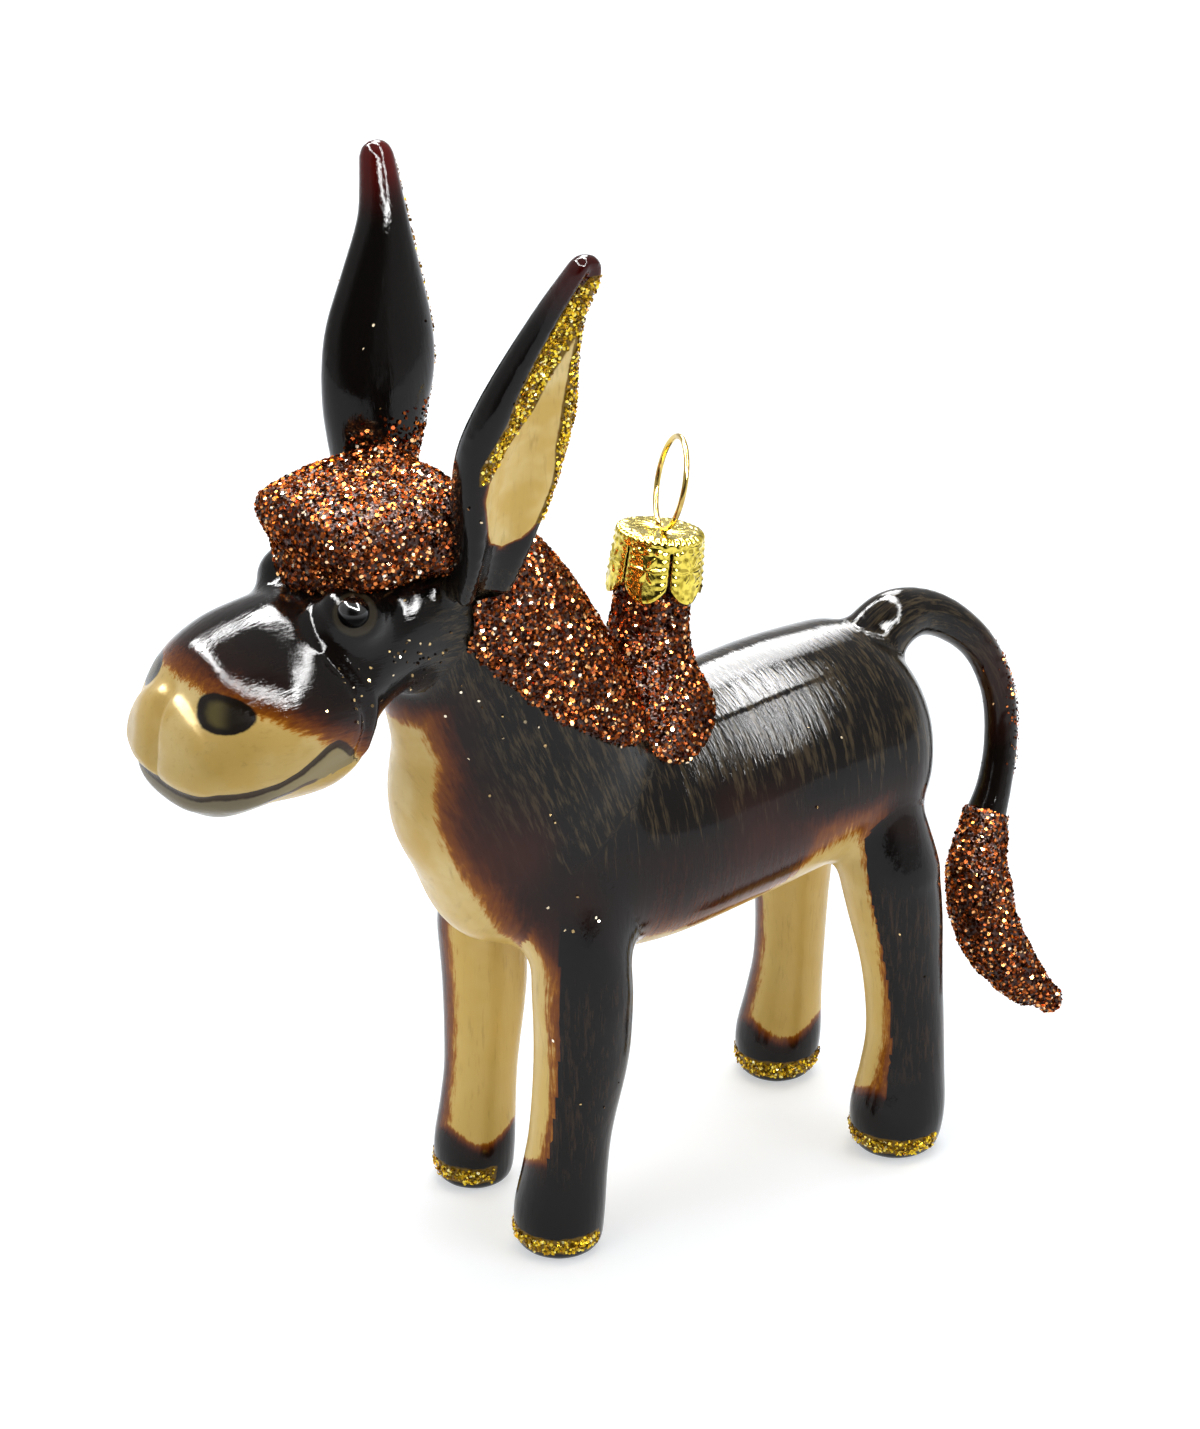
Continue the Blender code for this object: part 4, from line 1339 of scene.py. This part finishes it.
def wire_ring():
    """Springy ring of round wire, its two ends passing into the cap."""
    gap = math.asin(LEG_SPREAD / RING_RADIUS)
    middle = RING_RADIUS * math.cos(gap) + 0.3
    path = [(-LEG_SPREAD, -LEG_DEPTH), (-LEG_SPREAD, -LEG_DEPTH / 2)]
    count = 60
    for k in range(count + 1):
        angle = -math.pi / 2 - gap - (2 * math.pi - 2 * gap) * k / count
        path.append((RING_RADIUS * math.cos(angle), middle + RING_RADIUS * math.sin(angle)))
    path += [(LEG_SPREAD, -LEG_DEPTH / 2), (LEG_SPREAD, -LEG_DEPTH)]
    rows = []
    for along, height in path:
        lean = RING_LEAN * max(height, 0.0)
        rows.append((along * math.cos(RING_TURN) + lean, along * math.sin(RING_TURN), height, WIRE))
    spine = Spine(tube_rows(rows), 260, side=(math.sin(RING_TURN), -math.cos(RING_TURN), 0))
    rings = loft_rings(spine, 16)
    item = new_mesh("wire_ring", rings.reshape(-1, 3), ring_faces(len(rings), 16))
    return smooth_shaded(hang(facing_out(item)))


def black_bead():
    """Black glass whose gloss is full only on the upper half."""
    paint = Paint("black_bead")
    spot = paint.place()
    cloud = paint.noise(spot, 0.5, 3.0)
    return paint.finish(Base_Color=paint.mix((0.001, 0.001, 0.001), (0.003, 0.002, 0.002), cloud),
                        Roughness=0.02 + cloud * 0.02, IOR=1.5, Specular_IOR_Level=0.03,
                        Coat_Weight=paint.mark("rise").step(-0.2, 0.7), Coat_Roughness=0.13, Coat_IOR=1.7)


def embossed_tin(settings):
    """Gilt tin, dulled in patches, with painted shade for the holes where the wire goes in."""
    paint = Paint("embossed_tin")
    spot = paint.place()
    dull = paint.noise(spot, 1.2, 3.0).step(0.4, 0.7)
    colour = paint.mix(settings.tin, settings.tin_deep, dull)
    # Painted shade: black round the wire's ends, in place of the dark holes.
    colour = paint.mix(colour, (0.03, 0.012, 0.004), paint.mark("hole").step(0.75, 0.5))
    return paint.finish(Base_Color=colour, Metallic=1.0, Roughness=0.10 + dull * 0.1,
                        Normal=paint.bump(paint.noise(spot, 1.2, 2.0), 0.12, 0.0002))


def gold_wire(settings):
    """Gilt wire, worn brown in places."""
    paint = Paint("gold_wire")
    worn = paint.noise(paint.place(), 0.8, 3.0).step(0.45, 0.7)
    return paint.finish(Base_Color=paint.mix(settings.wire, (0.30, 0.17, 0.05), worn * 0.5), Metallic=1.0,
                        Roughness=0.12 + worn * 0.1)


# ---------------------------------------------------------------------------------------------------------
# Stage
# ---------------------------------------------------------------------------------------------------------
VIEW_BACK = (-0.49704, -0.74839, 0.43916)      # from the subject towards the viewer
# The bright frame: its corners in a level plane three metres up, and the width of each of its sides.
WINDOW = ((-1.15, 4.2), (-2.05, 0.25), (-1.35, -1.45), (0.30, -3.9), (1.35, -3.7), (1.05, 0.10), (1.08, 2.9))
WINDOW_WIDTHS = (0.30, 0.24, 0.40, 0.36, 0.26, 0.50, 0.28)
WINDOW_HEIGHT = 3.0
BACK_PANEL = (1.32, 2.13, 1.53)
SKY_TONES = ((0.0, 1.0), (0.22, 0.80), (1.0, 1.0))      # how far up, and how bright
VIEWER_SHADE = (0.02, 0.02, 0.02)
PAPER_TONES = ((0.61, 0.63, 0.66), (0.64, 0.66, 0.69))
PAPER_GLOW = (0.97, 0.99, 1.0)
FLOOR_HALF = 4000


def stage_floor():
    """Sheet of pale paper with a glow of its own, which keeps it near white."""
    corners = [(x * FLOOR_HALF, y * FLOOR_HALF, 0) for x, y in ((-1, -1), (1, -1), (1, 1), (-1, 1))]
    item = new_mesh("floor", corners, [(0, 1, 2, 3)])
    paint = Paint("studio_paper")
    fibres = paint.noise(paint.place(), 0.4, 3.0)
    item.data.materials.append(paint.finish(
        Base_Color=paint.mix(*PAPER_TONES, fibres), Roughness=0.9, Specular_IOR_Level=0.0,
        Emission_Color=PAPER_GLOW, Emission_Strength=0.46))
    return item


def stage_world(settings):
    """Pale studio, a little dimmer above the horizon, with a dark patch where the viewer stands."""
    world = bpy.data.worlds.new("studio")
    bpy.context.scene.world = world
    world.use_nodes = True
    nodes = Nodes(world.node_tree)
    way = nodes.vector_maths("NORMALIZE", {0: nodes.add("ShaderNodeTexCoord").outputs["Generated"]})
    facing = Value(nodes, nodes.vector_maths("DOT_PRODUCT", {0: way, 1: VIEW_BACK}, "Value"))
    viewer = facing.step(math.cos(math.radians(56)), math.cos(math.radians(20)))
    sky = nodes.ramp(nodes.part_of(way, 2), [(place, (tone, tone, tone)) for place, tone in SKY_TONES])
    back = world.node_tree.nodes["Background"]
    nodes.feed(back.inputs["Color"], nodes.mix(sky, VIEWER_SHADE, viewer))
    nodes.feed(back.inputs["Strength"], settings.sky)


def area_light(name, way, side, wide, tall, power, soft=True):
    """Area light at `way` from the ornament, facing it: seen as soft light only, or in the gloss only."""
    data = bpy.data.lights.new(name, "AREA")
    data.shape = "RECTANGLE"
    data.size, data.size_y, data.energy = wide, tall, power
    item = bpy.data.objects.new(name, data)
    back = Vector(way).normalized()
    right = (Vector(side) - back * back.dot(Vector(side))).normalized()
    item.location = Vector((0, 0, 0.07)) + Vector(way)
    item.rotation_euler = Matrix((right, back.cross(right), back)).transposed().to_euler()
    item.visible_diffuse, item.visible_glossy = soft, not soft
    bpy.context.scene.collection.objects.link(item)


def stage_lights(settings):
    """A bright frame overhead and a panel behind that show in the gloss, and broad soft light from above."""
    corners = [Vector((x, y, WINDOW_HEIGHT)) for x, y in WINDOW]
    for k, (start, end, wide) in enumerate(zip(corners, corners[1:] + corners[:1], WINDOW_WIDTHS)):
        long = (end - start).length
        power = settings.window * long * wide
        area_light("window_%d" % k, (start + end) / 2, end - start, long, wide, power, False)
    area_light("back_panel", BACK_PANEL, (-0.9, 0.4, 0), 0.8, 1.5, settings.panel, False)
    area_light("top_soft", (0.27, 0.24, 0.93), (0.95, 0.12, -0.28), 0.9, 0.8, settings.top)
    area_light("fill_left", (-1.44, -0.48, 0.88), (0, 0, 1), 0.8, 1.0, settings.fill)
    area_light("fill_right", (0.88, -1.2, 0.8), (0, 0, 1), 0.8, 1.0, settings.fill)


def stage_camera(settings):
    """The view, from the front left and a little above."""
    data = bpy.data.cameras.new("view")
    data.lens = settings.lens
    data.sensor_width = 36
    data.clip_start, data.clip_end = 0.01, 20
    item = bpy.data.objects.new("view", data)
    back = Vector(VIEW_BACK)
    item.location = Vector((0, 0, 0.06268)) + back * settings.distance
    item.rotation_euler = back.to_track_quat("Z", "Y").to_euler()
    bpy.context.scene.collection.objects.link(item)
    bpy.context.scene.camera = item


# ---------------------------------------------------------------------------------------------------------
# Settings
# ---------------------------------------------------------------------------------------------------------
def colour(name, description, value):
    return FloatVectorProperty(name=name, description=description, subtype="COLOR", size=3, min=0, max=1,
                               default=value)


def length(name, description, value):
    return FloatProperty(name=name, description=description, subtype="DISTANCE", unit="LENGTH",
                         default=value)


def watts(name, description, value):
    return FloatProperty(name=name, description=description, subtype="POWER", default=value)


class GlassSettings(bpy.types.PropertyGroup):
    fineness: length("Fineness", "Size of the skin's faces", 0.0005)
    cream: colour("Cream", "Pearly ground, light", (0.69, 0.53, 0.235))
    cream_deep: colour("Deep cream", "Pearly ground, darker clouds", (0.56, 0.375, 0.10))
    cream_gold: colour("Golden cream", "Pearly ground low on the legs", (0.69, 0.48, 0.125))
    olive: colour("Olive", "Dry brush strokes on the upper flank", (0.050, 0.036, 0.019))
    lip_grey: colour("Lip grey", "Thin grey paint of the lower lip", (0.085, 0.080, 0.062))
    lip_line: colour("Lip line", "Painted line of the mouth", (0.018, 0.010, 0.008))


class GlitterSettings(bpy.types.PropertyGroup):
    flakes: FloatProperty(name="Flakes", description="Copper flakes on each square millimetre", default=8.0)
    radius: length("Flake radius", "Radius of a copper flake", 0.00023)
    gold_radius: length("Gold flake radius", "Radius of a gold flake", 0.00020)
    tilt: FloatProperty(name="Tilt", description="Largest tilt of a flake", subtype="ANGLE", default=0.72)
    lift: length("Lift", "How far flakes stand out of the glue", 0.00022)
    crust: length("Mane crust", "Thickness of the mane's crust", 0.00050)


class HangerSettings(bpy.types.PropertyGroup):
    tin: colour("Tin", "Gilt tin", (0.78, 0.62, 0.10))
    tin_deep: colour("Deep tin", "Worn gilt tin", (0.38, 0.29, 0.03))
    wire: colour("Wire", "Gilt wire", (0.62, 0.46, 0.13))


class StageSettings(bpy.types.PropertyGroup):
    lens: FloatProperty(name="Lens", description="Focal length of the view", subtype="DISTANCE_CAMERA",
                        default=138.56)
    distance: length("Distance", "From the viewer to the ornament", 0.640)
    window: FloatProperty(name="Window", description="Strength of the window frame per area", default=230.0)
    panel: watts("Panel", "Power of the panel behind", 60.0)
    top: watts("Top", "Power of the soft light above", 9.0)
    fill: watts("Fill", "Power of each soft fill", 8.0)
    sky: FloatProperty(name="Sky", description="Strength of the pale surroundings", default=0.75)


# ---------------------------------------------------------------------------------------------------------
# Operators
# ---------------------------------------------------------------------------------------------------------
BODY_NODES = ("trunk", "neck", "head", "jaw", "ear_left", "ear_right", "tail_root", "tail_shaft") + tuple(
    kind + "_" + which for kind in ("leg", "hoof") for which in LEGS)


class BuildSkin(bpy.types.Operator):
    """One skin of lacquered glass over the whole body"""
    bl_idname = "donkey.build_skin"
    bl_label = "Glass skin"

    def execute(self, context):
        settings = context.scene.donkey_glass
        item = make_skin(settings)
        item.data.materials.append(lacquered_glass(settings))
        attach(item, "root")
        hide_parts(*BODY_NODES)
        return {"FINISHED"}


class BuildEyes(bpy.types.Operator):
    """Two black glass beads"""
    bl_idname = "donkey.build_eyes"
    bl_label = "Eyes"

    def execute(self, context):
        material = black_bead()
        for name, centre in EYES.items():
            item = eye_bead(name + "_bead", centre)
            item.data.materials.append(material)
            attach(item, "root")
            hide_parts(name)
        return {"FINISHED"}


class BuildCopper(bpy.types.Operator):
    """Copper glitter on the forelock, the mane, the stem and the tail's tuft"""
    bl_idname = "donkey.build_copper"
    bl_label = "Copper glitter"

    def execute(self, context):
        settings = context.scene.donkey_glitter
        ground = glitter_ground("copper_dust", *COPPER_DUST)
        foil = glitter_foil("copper_foil", COPPER_TONES, 0.22, 0.96)
        inside = mane_cover()
        mane = skin_patch("mane_crust", inside, smoothstep(-0.1, 0.5, inside),
                          settings.crust / MM * smoothstep(0.0, 0.7, inside))
        crusts = (("forelock", forelock_ground()), ("mane", mane), ("hanger_stem", stem_ground()),
                  ("tail_tuft", tuft_ground()))
        for seed, (node, item) in enumerate(crusts):
            item.data.materials.append(ground)
            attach(item, "root")
            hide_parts(node)
            strew(node + "_flakes", item, foil, settings.flakes * 1e6, settings.radius, settings.tilt,
                  settings.lift, SEED + seed)
        return {"FINISHED"}


def strewn_on_skin(name, weight, cover, material, settings, radius, seed, density=1.0):
    """Flakes glued straight to the glass where the weight is above nothing."""
    ground = skin_patch(name + "_ground", weight, cover)
    strew(name, ground, material, settings.flakes * 1e6 * density, radius, settings.tilt, settings.lift,
          seed)
    bpy.data.objects.remove(ground)


class BuildGold(bpy.types.Operator):
    """Gold glitter on hooves and ears, and stray flakes that stuck elsewhere"""
    bl_idname = "donkey.build_gold"
    bl_label = "Gold and stray glitter"

    def execute(self, context):
        settings = context.scene.donkey_glitter
        gold = glitter_foil("gold_foil", GOLD_TONES, 0.22, 0.72)
        stray = glitter_foil("stray_foil", STRAY_TONES, 0.25, 0.8)
        copper = bpy.data.materials["copper_foil"]
        points, parts, marks = GlassSkin.points, GlassSkin.part_names, GlassSkin.marks
        x, y, z = points.T
        full = np.ones(len(points))
        strewn_on_skin("hoof_gold", marks["hoof_rim"], full, gold, settings, settings.gold_radius, 31,
                       1.4)
        strewn_on_skin("ear_gold", marks["ear_rim"], full, gold, settings, settings.gold_radius, 32,
                       1.4)
        patch = np.where((parts == "ear_right") & (y < 14.0) & (z > 91), 104.5 - z, -1)
        fade = smoothstep(104.5, 98.0, z) ** 2 * smoothstep(-27.5, -25.0, x)
        strewn_on_skin("ear_copper", patch, fade, copper, settings, settings.radius, 33)
        grit = np.where((parts == "tail") & (z > 36) & (z < 62) & (x > 52.5), 1.0, -1)
        strewn_on_skin("tail_grit", grit, smoothstep(0.0, 1.5, x - 55.2) * 0.5 + 0.01, copper, settings,
                       settings.radius * 0.7, 34)
        dust = np.zeros(len(points))
        for centre, reach, share in STRAYS:
            dust = np.maximum(dust, share * smoothstep(reach, 0, np.linalg.norm(points - centre, axis=1)))
        dust[marks["cream"] > 0.5] *= 0.1
        strewn_on_skin("stray_flakes", dust - 0.0005, dust, stray, settings, settings.radius * 0.8, 35)
        return {"FINISHED"}


class BuildHanger(bpy.types.Operator):
    """Embossed tin cap and its ring of wire"""
    bl_idname = "donkey.build_hanger"
    bl_label = "Hanger"

    def execute(self, context):
        settings = context.scene.donkey_hanger
        for item, material, slot, node in ((tin_cap(), embossed_tin(settings), "cap_tin", "hanger_cap"),
                                           (wire_ring(), gold_wire(settings), "hanger_wire", "hanger_wire")):
            item.data.materials.append(material)
            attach(item, "root")
            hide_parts(node)
        return {"FINISHED"}


class BuildStage(bpy.types.Operator):
    """Pale floor, soft lights and the view"""
    bl_idname = "donkey.build_stage"
    bl_label = "Stage"

    def execute(self, context):
        settings = context.scene.donkey_stage
        stage_floor()
        stage_world(settings)
        stage_lights(settings)
        stage_camera(settings)
        context.scene.view_settings.view_transform = "Standard"
        return {"FINISHED"}


OPERATORS = (BuildSkin, BuildEyes, BuildCopper, BuildGold, BuildHanger, BuildStage)
GROUPS = {"donkey_glass": GlassSettings, "donkey_glitter": GlitterSettings, "donkey_hanger": HangerSettings,
          "donkey_stage": StageSettings}


class DonkeyPanel(bpy.types.Panel):
    """Buttons for every piece of the ornament"""
    bl_idname = "VIEW3D_PT_donkey"
    bl_label = "Blown-glass donkey"
    bl_space_type = "VIEW_3D"
    bl_region_type = "UI"
    bl_category = "Donkey"

    def draw(self, context):
        for operator in OPERATORS:
            self.layout.operator(operator.bl_idname)
        for name, group in GROUPS.items():
            box = self.layout.box()
            for label in group.__annotations__:
                box.prop(getattr(context.scene, name), label)


def register():
    for group in GROUPS.values():
        bpy.utils.register_class(group)
    for name, group in GROUPS.items():
        setattr(bpy.types.Scene, name, PointerProperty(type=group))
    for entry in (*OPERATORS, DonkeyPanel):
        bpy.utils.register_class(entry)


def unregister():
    for entry in (DonkeyPanel, *reversed(OPERATORS)):
        bpy.utils.unregister_class(entry)
    for name, group in reversed(GROUPS.items()):
        delattr(bpy.types.Scene, name)
        bpy.utils.unregister_class(group)


def main():
    register()
    for operator in OPERATORS:
        family_name, action = operator.bl_idname.split(".")
        getattr(getattr(bpy.ops, family_name), action)()


if __name__ == "__main__":
    main()
